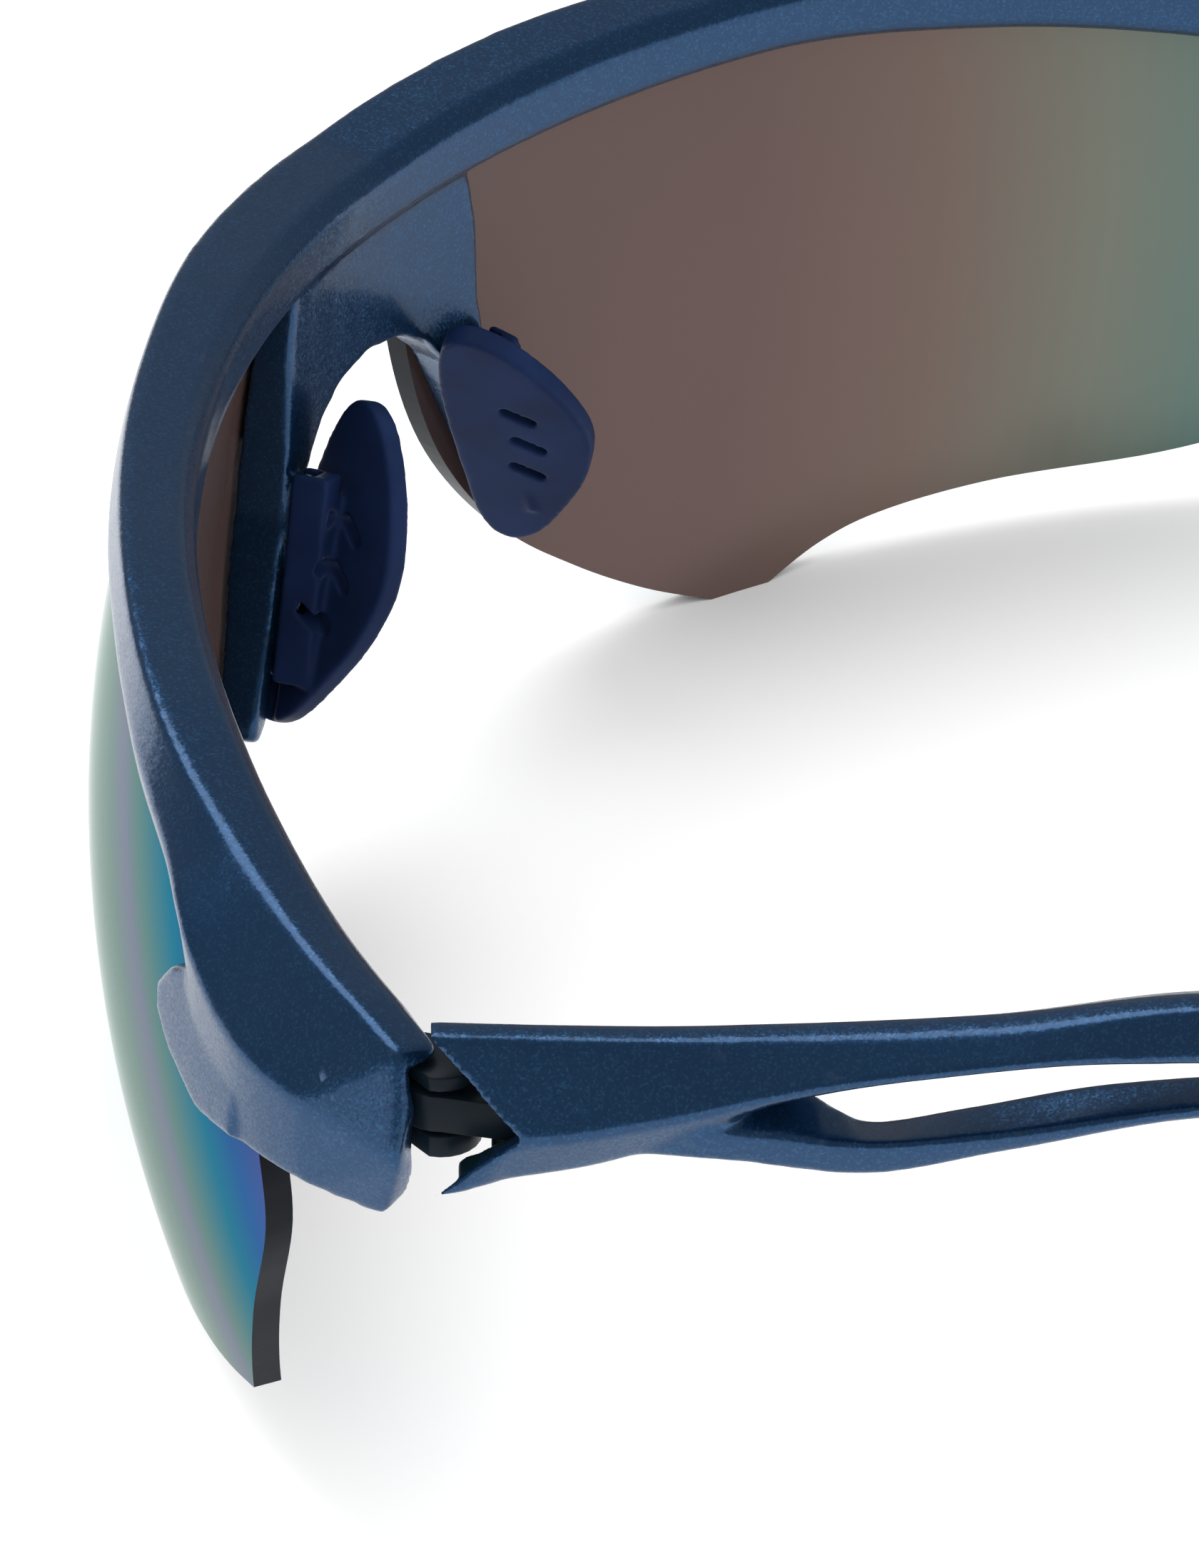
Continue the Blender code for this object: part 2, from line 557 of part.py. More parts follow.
def hinge_screw(side, name):
    """The pivot screw, put in from below: a slotted pan head under the lower ear and a plain shank."""
    seat = HINGE_LOWER_EAR[0] - SCREW_SEAT
    low = seat - SCREW_HEAD_HEIGHT
    radii = [(SCREW_HEAD_RADIUS - SCREW_HEAD_CHAMFER, low), (SCREW_HEAD_RADIUS, low + SCREW_HEAD_CHAMFER),
             (SCREW_HEAD_RADIUS, seat), (SCREW_RADIUS, seat), (SCREW_RADIUS, NUT_TOP)]
    rings = [[hinge_point(side, p.x, p.y, z) for p in arc(r, 0, 345, 23)] for r, z in radii]
    screw = add_object(name, loft(rings), "screw_steel")
    half = SCREW_DRIVE_WIDTH / 2
    reach = SCREW_HEAD_RADIUS + 1
    outline = [(-reach, -half), (reach, -half), (reach, half), (-reach, half)]
    drive = prism(outline, BELOW, low + SCREW_DRIVE_DEPTH, lambda u, v, z: hinge_point(side, u, v, z))
    combine(screw, add_object(f"tool_{name}_drive", drive), "DIFFERENCE")
    return screw


def hinge_nut(side, name):
    """The threaded sleeve in the upper ear."""
    low, high = HINGE_UPPER_EAR[0], NUT_TOP
    bm = turned([(SCREW_BORE, low), (NUT_RADIUS, low), (NUT_RADIUS, high), (SCREW_BORE, high)])
    bmesh.ops.translate(bm, verts=bm.verts, vec=hinge_point(side, 0, 0, 0))
    return add_object(name, bm, "screw_steel")


def hinge_pivot(side):
    """The empty on a hinge axis that carries one temple and holds its fold."""
    pivot = bpy.data.objects.new(f"pivot_{side_name(side)}", None)
    bpy.context.scene.collection.objects.link(pivot)
    pivot.location = hinge_point(side, 0, 0, 0) * MM
    pivot.rotation_euler.z = side * REST_FOLD[side]
    return pivot


def ear_frames():
    """Place, direction and distance along for each point of the ear path, as (a, z) vectors."""
    points = [Vector(point) for point in EAR_PATH]
    frames = []
    for i, point in enumerate(points):
        ahead = points[min(i + 1, len(points) - 1)] - points[max(i - 1, 0)]
        frames.append((point, ahead.normalized()))
    return frames


def arm_section(side, a):
    """The upper branch's section, or the whole front of the temple."""
    top = profile(ARM_TOP)(a)
    crest = profile(ARM_TOP_W)(a)
    bottom = profile(ARM_BOTTOM)(a)
    points = [(ARM_OUTER_W, profile(ARM_CREASE)(a)), (crest, top), (crest - 1.4, top),
              (ARM_INNER_W, top - 1.0),
              (ARM_INNER_W + 0.5 * (a > 20), bottom + 0.7), (ARM_INNER_W + 1.0, bottom),
              (profile(ARM_BOTTOM_W)(a), bottom)]
    return [Vector((side * w, a, z)) for w, z in points]


def ear_section(side, place, along, height, width, outer, inset=0.0):
    """A section across the ear path with seven points, to match the arm's."""
    up = Vector((-along.y, along.x))
    if up.y < 0:
        up = -up
    half = height / 2
    inner = outer - width
    points = [(outer, 0.15 * half), (outer - 0.25 * width, half),
              (inner + 0.25 * width, half), (inner, 0.5 * half),
              (inner, -0.5 * half), (inner + 0.25 * width, -half), (outer - 0.15 * width, -half)]
    middle = (outer + inner) / 2
    section = []
    for w, h in points:
        w = middle + (w - middle) * (1 - inset)
        point = place + up * h * (1 - inset)
        section.append(Vector((side * w, point.x, point.y)))
    return section


def ear_rings(side, first, last, height=None, width=None):
    """Sections along part of the ear path; a given height and width make a thin core."""
    rings = []
    for place, along in ear_frames()[first:last + 1]:
        full = profile(EAR_WIDTH)(place.x)
        outer = profile(EAR_OUTER_W)(place.x)
        if height:
            rings.append(ear_section(side, place, along, height, width, outer - (full - width) / 2))
        else:
            rings.append(ear_section(side, place, along, profile(EAR_HEIGHT)(place.x), full, outer))
    return rings


def fork_section(side, a):
    """The lower branch's section, a ribbon that leans further up inside towards the rear."""
    low = profile(FORK_LOW)(a)
    outer = profile(FORK_OUTER_W)(a)
    inner_top = profile(FORK_INNER_TOP)(a)
    points = [(outer - 0.3, low), (outer, low + profile(FORK_FACE)(a)), (FORK_INNER_W + 0.4, inner_top),
              (FORK_INNER_W, inner_top - 0.6), (FORK_INNER_W, low + 0.5), (FORK_INNER_W + 0.5, low)]
    return [Vector((side * w, a, z)) for w, z in points]


def temple(side, name, pivot):
    """A forked temple arm with a hollow V-shaped mouth and a core for the ear tip."""
    rings = [arm_section(side, a) for a in ARM_STATIONS] + ear_rings(side, 0, SLEEVE_START)
    arm = add_object(name, loft(rings), "navy_paint", pivot)
    fork = loft([fork_section(side, a) for a in FORK_STATIONS])
    combine(arm, add_object(f"tool_{name}_fork", fork, parent=pivot), "UNION")
    core = loft(ear_rings(side, 0, CORE_END, CORE_HEIGHT, CORE_WIDTH))
    combine(arm, add_object(f"tool_{name}_core", core, parent=pivot), "UNION")
    mouth = prism(MOUTH, MOUTH_SIDES[0], MOUTH_SIDES[1], lambda a, z, w: Vector((side * w, a, z)))
    combine(arm, add_object(f"tool_{name}_mouth", mouth, parent=pivot), "DIFFERENCE")

    def hollow(w, z, a):
        return Vector((side * w, a, z))

    front = prism(CAVITY_FRONT, CAVITY_START, CAVITY_SPLIT, hollow)
    combine(arm, add_object(f"tool_{name}_cavity_front", front, parent=pivot), "DIFFERENCE")
    back = prism(CAVITY_BACK, CAVITY_SPLIT - 0.5, CAVITY_END, hollow)
    combine(arm, add_object(f"tool_{name}_cavity_back", back, parent=pivot), "DIFFERENCE")
    face, edge, top = LIP
    under = prism([(MOUTH_SIDES[0], BELOW), (face, BELOW), (face, top), (MOUTH_SIDES[0], top)],
                  CAVITY_START, edge, hollow)
    combine(arm, add_object(f"tool_{name}_lip", under, parent=pivot), "DIFFERENCE")
    socket_outline = [(TONGUE_SIDE[0] - GAP, CAVITY_END - 1), (TONGUE_SIDE[1] + GAP, CAVITY_END - 1),
                      (TONGUE_SIDE[1] + GAP, TONGUE_END + GAP), (TONGUE_SIDE[0] - GAP, TONGUE_END + GAP)]
    socket = prism(socket_outline, HINGE_TONGUE_Z[0] - GAP, HINGE_TONGUE_Z[1] + GAP,
                   lambda w, a, z: Vector((side * w, a, z)))
    combine(arm, add_object(f"tool_{name}_socket", socket, parent=pivot), "DIFFERENCE")
    return arm


def hinge_tongue(side, name, pivot):
    """The tongue between the ears, rooted in the temple's socket."""
    outline = arc(HINGE_RADIUS, 125, 360, 16) + [Vector((TONGUE_SIDE[1], TONGUE_ROOT)),
                                                 Vector((TONGUE_SIDE[1], TONGUE_END)),
                                                 Vector((TONGUE_SIDE[0], TONGUE_END)),
                                                 Vector((TONGUE_SIDE[0], TONGUE_ROOT))]
    bm = prism(outline, HINGE_TONGUE_Z[0], HINGE_TONGUE_Z[1], lambda w, a, z: Vector((side * w, a, z)))
    tongue = add_object(name, bm, "hinge_black", pivot)
    combine(tongue, bore(side, SCREW_BORE, f"tool_{name}_bore", parent=pivot), "DIFFERENCE")
    return tongue


def ear_tip(side, name, pivot):
    """The rubber sleeve over the temple's end, open at the front, closed and rounded at the tip."""
    last = len(EAR_PATH) - 1
    rings = ear_rings(side, SLEEVE_START, last)
    place, along = ear_frames()[last]
    height, width = profile(EAR_HEIGHT)(place.x), profile(EAR_WIDTH)(place.x)
    outer = profile(EAR_OUTER_W)(place.x)
    for reach, inset in ((0.9, 0.1), (1.6, 0.3), (2.0, 0.6)):
        rings.append(ear_section(side, place + along * reach, along, height, width, outer, inset))
    shift = ear_frames()[SLEEVE_START][1] * GAP
    rings[0] = [point + Vector((0, shift.x, shift.y)) for point in rings[0]]
    tip = add_object(name, loft(rings), "indigo_rubber", pivot)
    hollow = loft(ear_rings(side, SLEEVE_START - 1, CORE_END, CORE_HEIGHT + 2 * GAP, CORE_WIDTH + 2 * GAP))
    combine(tip, add_object(f"tool_{name}_hollow", hollow, parent=pivot), "DIFFERENCE")
    floor = prism(FLOOR_OUTLINE, -BELOW, 0.0, lambda w, a, z: Vector((w, a, z)))
    combine(tip, add_object(f"tool_{name}_flat", floor, parent=pivot), "DIFFERENCE")
    return tip


def build():
    """Make every piece of the sunglasses."""
    clear_scene()
    front_frame()
    for side in (LEFT, RIGHT):
        word = side_name(side)
        pivot = hinge_pivot(side)
        lens(side, f"lens_{word}")
        nose_pad(side, f"nose_pad_{word}")
        hinge_block(side, f"hinge_block_{word}")
        hinge_screw(side, f"hinge_screw_{word}")
        hinge_nut(side, f"hinge_nut_{word}")
        temple(side, f"temple_{word}", pivot)
        hinge_tongue(side, f"hinge_tongue_{word}", pivot)
        ear_tip(side, f"ear_tip_{word}", pivot)


build()
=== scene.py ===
"""Looks for wraparound sport sunglasses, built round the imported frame.

The front is designed flat and bent round the face curve: s runs along the brow from the nose, n is
the distance out in front of the face curve, and z is the height above the table. Each temple has its
own frame: w outward, a rearward and z up, from the hinge axis. Shapes are worked out in millimetres.
"""

from __future__ import annotations

import json
import logging
import math
from collections.abc import Callable, Sequence
from dataclasses import dataclass, field
from enum import Enum

import bmesh
import bpy
from mathutils import Matrix, Vector

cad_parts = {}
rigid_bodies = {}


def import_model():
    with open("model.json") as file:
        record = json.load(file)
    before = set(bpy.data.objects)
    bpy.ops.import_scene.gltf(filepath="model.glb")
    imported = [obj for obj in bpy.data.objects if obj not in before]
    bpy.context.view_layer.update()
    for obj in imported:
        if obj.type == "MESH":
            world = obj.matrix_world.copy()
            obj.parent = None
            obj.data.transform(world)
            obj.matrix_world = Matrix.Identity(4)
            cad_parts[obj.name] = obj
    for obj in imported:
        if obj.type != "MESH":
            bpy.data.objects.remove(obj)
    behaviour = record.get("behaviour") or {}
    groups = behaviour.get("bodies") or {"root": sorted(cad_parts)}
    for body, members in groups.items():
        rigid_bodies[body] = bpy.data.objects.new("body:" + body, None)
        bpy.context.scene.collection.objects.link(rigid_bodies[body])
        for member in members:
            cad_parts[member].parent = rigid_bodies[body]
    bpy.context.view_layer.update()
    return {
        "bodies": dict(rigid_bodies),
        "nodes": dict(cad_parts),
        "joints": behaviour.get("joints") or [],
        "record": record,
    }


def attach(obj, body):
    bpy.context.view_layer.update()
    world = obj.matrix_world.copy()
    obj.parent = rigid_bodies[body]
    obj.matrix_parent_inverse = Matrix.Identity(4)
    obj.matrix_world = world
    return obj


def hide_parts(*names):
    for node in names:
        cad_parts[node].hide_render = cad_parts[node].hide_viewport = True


LOG = logging.getLogger("sunglasses")
MM = 0.001
GAP = 0.3
BELOW = 20.0
WELD = 0.001

Knots = Sequence[tuple[float, float]]
Colour = tuple[float, float, float, float]


class Side(Enum):
    """The wearer's left or right."""

    LEFT = 1
    RIGHT = -1

    @property
    def word(self) -> str:
        """The side as a word."""
        return self.name.lower()


class Cut(Enum):
    """How a tool meets a piece."""

    JOIN = "UNION"
    REMOVE = "DIFFERENCE"


def profile(knots: Knots) -> Callable[[float], float]:
    """Make a smooth function through knots that never overshoots them.

    Args:
        knots: (position, value) pairs in order of position.

    Returns:
        A function from position to value, level beyond both ends.
    """
    xs = [float(knot[0]) for knot in knots]
    ys = [float(knot[1]) for knot in knots]
    rises = [(ys[i + 1] - ys[i]) / (xs[i + 1] - xs[i]) for i in range(len(xs) - 1)]
    slopes = [rises[0]]
    for before, after in zip(rises, rises[1:]):
        slopes.append(2 * before * after / (before + after) if before * after > 0 else 0.0)
    slopes.append(rises[-1])

    def value(x: float) -> float:
        """Read the curve at one position."""
        x = min(max(x, xs[0]), xs[-1])
        i = max(k for k in range(len(xs) - 1) if xs[k] <= x)
        width = xs[i + 1] - xs[i]
        t = (x - xs[i]) / width
        ends = ys[i] * (1 + 2 * t) * (1 - t) ** 2 + ys[i + 1] * t * t * (3 - 2 * t)
        return ends + width * t * (1 - t) * (slopes[i] * (1 - t) - slopes[i + 1] * t)

    return value


def smooth_run(points: Sequence[Sequence[float]], steps: int = 3, closed: bool = False) -> list[Vector]:
    """Follow a smooth curve through points.

    Args:
        points: The points that the curve passes through.
        steps: How many points stand for each span.
        closed: Whether the last point joins the first.

    Returns:
        Points along the curve, without the last one if it is open.
    """
    count = len(points)
    result = []
    for i in range(count if closed else count - 1):
        near = [(i + k) % count if closed else min(max(i + k, 0), count - 1) for k in (-1, 0, 1, 2)]
        p = [Vector(points[k]) for k in near]
        square = 2 * p[0] - 5 * p[1] + 4 * p[2] - p[3]
        cube = 3 * p[1] - p[0] - 3 * p[2] + p[3]
        for j in range(steps):
            t = j / steps
            result.append(0.5 * (2 * p[1] + (p[2] - p[0]) * t + square * t ** 2 + cube * t ** 3))
    return result


def grown(outline: Sequence[Vector], distance: float) -> list[Vector]:
    """Move a closed outline outward.

    Args:
        outline: The closed outline.
        distance: How far each point moves.

    Returns:
        The larger outline.
    """
    count = len(outline)
    area = sum(outline[i - 1].x * outline[i].y - outline[i].x * outline[i - 1].y for i in range(count))
    turn = math.copysign(1.0, area)
    result = []
    for i, point in enumerate(outline):
        along = (outline[(i + 1) % count] - outline[i - 1]).normalized()
        result.append(point + Vector((along.y, -along.x)) * turn * distance)
    return result


def arc(radius: float, start: float, end: float, steps: int, centre: Sequence[float] = (0, 0)) -> list[Vector]:
    """Place points round part of a circle.

    Args:
        radius: The circle's radius.
        start: The first angle in degrees.
        end: The last angle in degrees.
        steps: How many spans there are.
        centre: The circle's centre.

    Returns:
        The points, from start to end.
    """
    angles = [math.radians(start + (end - start) * i / steps) for i in range(steps + 1)]
    return [Vector((centre[0] + radius * math.cos(t), centre[1] + radius * math.sin(t))) for t in angles]


def spread(stations: Sequence[float], step: float) -> list[float]:
    """Add stations between the given ones, at most a step apart.

    Args:
        stations: Positions that stay in.
        step: The longest span wanted.

    Returns:
        All positions in order.
    """
    result = []
    for first, last in zip(stations, stations[1:]):
        count = max(1, math.ceil((last - first) / step))
        result += [first + (last - first) * i / count for i in range(count)]
    return result + [stations[-1]]


def loft(sections: Sequence[Sequence[Vector]], apex: int | None = None) -> bmesh.types.BMesh:
    """Extrude one closed section through a row of others, with both ends closed.

    Args:
        sections: Rings with the same number of points, in millimetres.
        apex: The ring point that both end caps fan out from; flat ends have none.

    Returns:
        The closed mesh.
    """
    bm = bmesh.new()
    ring = [bm.verts.new(point) for point in sections[0]]
    ends = [list(ring)]
    edges = [bm.edges.new((ring[i - 1], ring[i])) for i in range(len(ring))]
    for section in sections[1:]:
        grew = bmesh.ops.extrude_edge_only(bm, edges=edges)["geom"]
        fresh = {item for item in grew if isinstance(item, bmesh.types.BMVert)}
        edges = [e for e in grew if isinstance(e, bmesh.types.BMEdge) and set(e.verts) <= fresh]
        ring = [next(e.other_vert(v) for e in v.link_edges if e.other_vert(v) in fresh) for v in ring]
        for vert, point in zip(ring, section):
            vert.co = point
    ends.append(ring)
    for end in ends:
        if apex is None:
            bm.faces.new(end)
        else:
            fan = end[apex:] + end[:apex]
            for second, third in zip(fan[1:], fan[2:]):
                bm.faces.new((fan[0], second, third))
    bmesh.ops.triangulate(bm, faces=bm.faces)
    return bm


def prism(outline: Sequence[Sequence[float]], low: float, high: float,
          place: Callable[[float, float, float], Vector]) -> bmesh.types.BMesh:
    """Extrude a flat outline between two levels.

    Args:
        outline: The closed outline.
        low: The first level.
        high: The second level.
        place: Puts (u, v, level) in space.

    Returns:
        The closed mesh.
    """
    return loft([[place(point[0], point[1], level) for point in outline] for level in (low, high)])


def both(make: Callable[[Side], bmesh.types.BMesh]) -> bmesh.types.BMesh:
    """Make a pair of tools as one mesh.

    Args:
        make: Makes one side's tool.

    Returns:
        The two closed meshes together.
    """
    pair = bmesh.new()
    for side in Side:
        part = make(side)
        mesh = bpy.data.meshes.new("side")
        part.to_mesh(mesh)
        part.free()
        pair.from_mesh(mesh)
        bpy.data.meshes.remove(mesh)
    return pair


def new_object(name: str, bm: bmesh.types.BMesh) -> bpy.types.Object:
    """Make an object from a mesh, with its faces turned outward.

    Args:
        name: The object's name.
        bm: The closed mesh, which is freed.

    Returns:
        The linked object.
    """
    bmesh.ops.recalc_face_normals(bm, faces=bm.faces)
    if bm.calc_volume(signed=True) < 0:
        bmesh.ops.reverse_faces(bm, faces=bm.faces)
    mesh = bpy.data.meshes.new(name)
    bm.to_mesh(mesh)
    bm.free()
    obj = bpy.data.objects.new(name, mesh)
    bpy.context.scene.collection.objects.link(obj)
    return obj


def bake_modifiers(obj: bpy.types.Object) -> None:
    """Turn an object's modifiers into its mesh.

    Args:
        obj: The object, left without modifiers.
    """
    graph = bpy.context.evaluated_depsgraph_get()
    mesh = bpy.data.meshes.new_from_object(obj.evaluated_get(graph))
    obj.modifiers.clear()
    obj.data = mesh


def combine(target: bpy.types.Object, tool: bpy.types.Object, cut: Cut) -> None:
    """Join a tool to a piece or cut it away, and discard the tool.

    Args:
        target: The piece.
        tool: The tool.
        cut: How they meet.
    """
    modifier = target.modifiers.new("tool", "BOOLEAN")
    modifier.operation = cut.value
    modifier.solver = "EXACT"
    modifier.object = tool
    bake_modifiers(target)
    bpy.data.objects.remove(tool)


def mould(obj: bpy.types.Object, cell: float, passes: int, keep: float) -> None:
    """Round a piece's edges and blend its seams, as a moulding's are.

    Args:
        obj: The piece, in millimetres.
        cell: The size of the new mesh's cells.
        passes: How many times it is smoothed.
        keep: The share of faces kept afterwards.
    """
    remesh = obj.modifiers.new("even", "REMESH")
    remesh.mode = "VOXEL"
    remesh.voxel_size = cell
    smooth = obj.modifiers.new("round", "SMOOTH")
    smooth.factor = 0.5
    smooth.iterations = passes
    thin = obj.modifiers.new("thin", "DECIMATE")
    thin.ratio = keep
    bake_modifiers(obj)


def finish_piece(obj: bpy.types.Object, name: str, body: str,
                 materials: Sequence[bpy.types.Material], angle: float = 40.0) -> bpy.types.Object:
    """Scale a finished piece to metres, dress it and fix it to its body.

    Args:
        obj: The piece in millimetres.
        name: The CAD node that it stands for.
        body: The CAD body that it rides on.
        materials: Its materials, in the order of its faces' slots.
        angle: Edges sharper than this many degrees stay crisp.

    Returns:
        The piece.
    """
    obj.name = f"{name}_finished"
    obj.data.name = obj.name
    obj.data.transform(Matrix.Scale(MM, 4))
    obj.data.shade_smooth()
    obj.data.set_sharp_from_angle(angle=math.radians(angle))
    for material in materials:
        obj.data.materials.append(material)
    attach(obj, body)
    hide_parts(name)
    LOG.info("%s: %d faces on %s", obj.name, len(obj.data.polygons), body)
    return obj


@dataclass(frozen=True)
class Writer:
    """Adds nodes to one tree and joins them."""

    tree: bpy.types.NodeTree

    def add(self, kind: str, inputs: dict[str, object] | None = None, **settings: object) -> bpy.types.Node:
        """Add a node.

        Args:
            kind: The node's type.
            inputs: Values for its input sockets.
            settings: Values for its properties.

        Returns:
            The node.
        """
        node = self.tree.nodes.new(kind)
        for key, value in settings.items():
            setattr(node, key, value)
        for key, value in (inputs or {}).items():
            node.inputs[key].default_value = value
        return node

    def join(self, source: bpy.types.NodeSocket, target: bpy.types.NodeSocket) -> None:
        """Join two sockets."""
        self.tree.links.new(source, target)

    def math(self, operation: str, *terms: object) -> bpy.types.NodeSocket:
        """Work out a sum of sockets and numbers.

        Args:
            operation: The Math node's operation.
            terms: Its inputs, sockets or numbers.

        Returns:
            The result's socket.
        """
        node = self.add("ShaderNodeMath", operation=operation)
        for socket, term in zip(node.inputs, terms):
            if isinstance(term, bpy.types.NodeSocket):
                self.join(term, socket)
            else:
                socket.default_value = term
        return node.outputs[0]

    def ramp(self, stops: Sequence[tuple[float, Colour]], value: bpy.types.NodeSocket) -> bpy.types.NodeSocket:
        """Turn a value into a colour.

        Args:
            stops: (position, colour) pairs in order.
            value: The value's socket, from 0 to 1.

        Returns:
            The colour's socket.
        """
        node = self.add("ShaderNodeValToRGB")
        elements = node.color_ramp.elements
        for i, (position, colour) in enumerate(stops):
            element = elements[i] if i < 2 else elements.new(position)
            element.position = position
            element.color = colour
        self.join(value, node.inputs["Fac"])
        return node.outputs["Color"]


@dataclass(frozen=True)
class SurfaceGrain:
    """A shared node group: fine height grain and a slow roughness drift, in object coordinates."""

    name: str = "surface_grain"

    def group(self) -> bpy.types.NodeTree:
        """Make the group once, and reuse it after that."""
        found = bpy.data.node_groups.get(self.name)
        if found:
            return found
        tree = bpy.data.node_groups.new(self.name, "ShaderNodeTree")
        for name, value in (("Grain Scale", 9000.0), ("Drift Scale", 300.0), ("Roughness", 0.4),
                            ("Drift", 0.1)):
            socket = tree.interface.new_socket(name, in_out="INPUT", socket_type="NodeSocketFloat")
            socket.default_value = value
        for name in ("Height", "Rough"):
            tree.interface.new_socket(name, in_out="OUTPUT", socket_type="NodeSocketFloat")
        writer = Writer(tree)
        given, made = writer.add("NodeGroupInput"), writer.add("NodeGroupOutput")
        place = writer.add("ShaderNodeTexCoord").outputs["Object"]
        grain = writer.add("ShaderNodeTexNoise", {"Detail": 3.0, "Roughness": 0.6})
        drift = writer.add("ShaderNodeTexNoise", {"Detail": 4.0, "Roughness": 0.65})
        for node, scale in ((grain, "Grain Scale"), (drift, "Drift Scale")):
            writer.join(place, node.inputs["Vector"])
            writer.join(given.outputs[scale], node.inputs["Scale"])
        centred = writer.math("SUBTRACT", drift.outputs[0], 0.5)
        change = writer.math("MULTIPLY", centred, given.outputs["Drift"])
        writer.join(grain.outputs[0], made.inputs["Height"])
        writer.join(writer.math("ADD", given.outputs["Roughness"], change), made.inputs["Rough"])
        return tree


@dataclass(frozen=True)
class Finish:
    """What all the finishes share: a grained, slightly uneven surface."""

    name: str = "finish"
    colour: Colour = (0.5, 0.5, 0.5, 1.0)
    roughness: float = 0.4
    drift: float = 0.15
    grain_scale: float = 6000.0
    drift_scale: float = 250.0
    bump: float = 0.05
    bump_depth: float = 0.00002
    metallic: float = 0.0
    specular: float = 0.5
    ior: float = 1.45
    grazing_tint: Colour = (1.0, 1.0, 1.0, 1.0)
    coat: float = 0.0
    coat_roughness: float = 0.1

    def material(self) -> bpy.types.Material:
        """Make the material.

        Returns:
            The material.
        """
        made = bpy.data.materials.new(self.name)
        made.use_nodes = True
        writer = Writer(made.node_tree)
        shader = made.node_tree.nodes["Principled BSDF"]
        shader.inputs["Base Color"].default_value = self.colour
        shader.inputs["Metallic"].default_value = self.metallic
        shader.inputs["Specular IOR Level"].default_value = self.specular
        shader.inputs["IOR"].default_value = self.ior
        shader.inputs["Specular Tint"].default_value = self.grazing_tint
        shader.inputs["Coat Weight"].default_value = self.coat
        shader.inputs["Coat Roughness"].default_value = self.coat_roughness
        grain = writer.add("ShaderNodeGroup", node_tree=SurfaceGrain().group())
        for key, value in (("Grain Scale", self.grain_scale), ("Drift Scale", self.drift_scale),
                           ("Roughness", self.roughness), ("Drift", self.drift)):
            grain.inputs[key].default_value = value
        writer.join(grain.outputs["Rough"], shader.inputs["Roughness"])
        bump = writer.add("ShaderNodeBump", {"Strength": self.bump, "Distance": self.bump_depth})
        writer.join(grain.outputs["Height"], bump.inputs["Height"])
        writer.join(bump.outputs["Normal"], shader.inputs["Normal"])
        self.detail(writer, shader, bump)
        return made

    def detail(self, writer: Writer, shader: bpy.types.Node, bump: bpy.types.Node) -> None:
        """Add what only this finish has.

        Args:
            writer: Writes to the material's tree.
            shader: The material's shader.
            bump: Its bump node; not used.
        """
        place = writer.add("ShaderNodeTexCoord").outputs["Object"]
        cloud = writer.add("ShaderNodeTexNoise", {"Scale": self.drift_scale, "Detail": 2.0})
        writer.join(place, cloud.inputs["Vector"])
        dark, light = (tuple(c * share for c in self.colour[:3]) + (1.0,) for share in (0.8, 1.2))
        writer.join(writer.ramp(((0.3, dark), (0.7, light)), cloud.outputs[0]), shader.inputs["Base Color"])


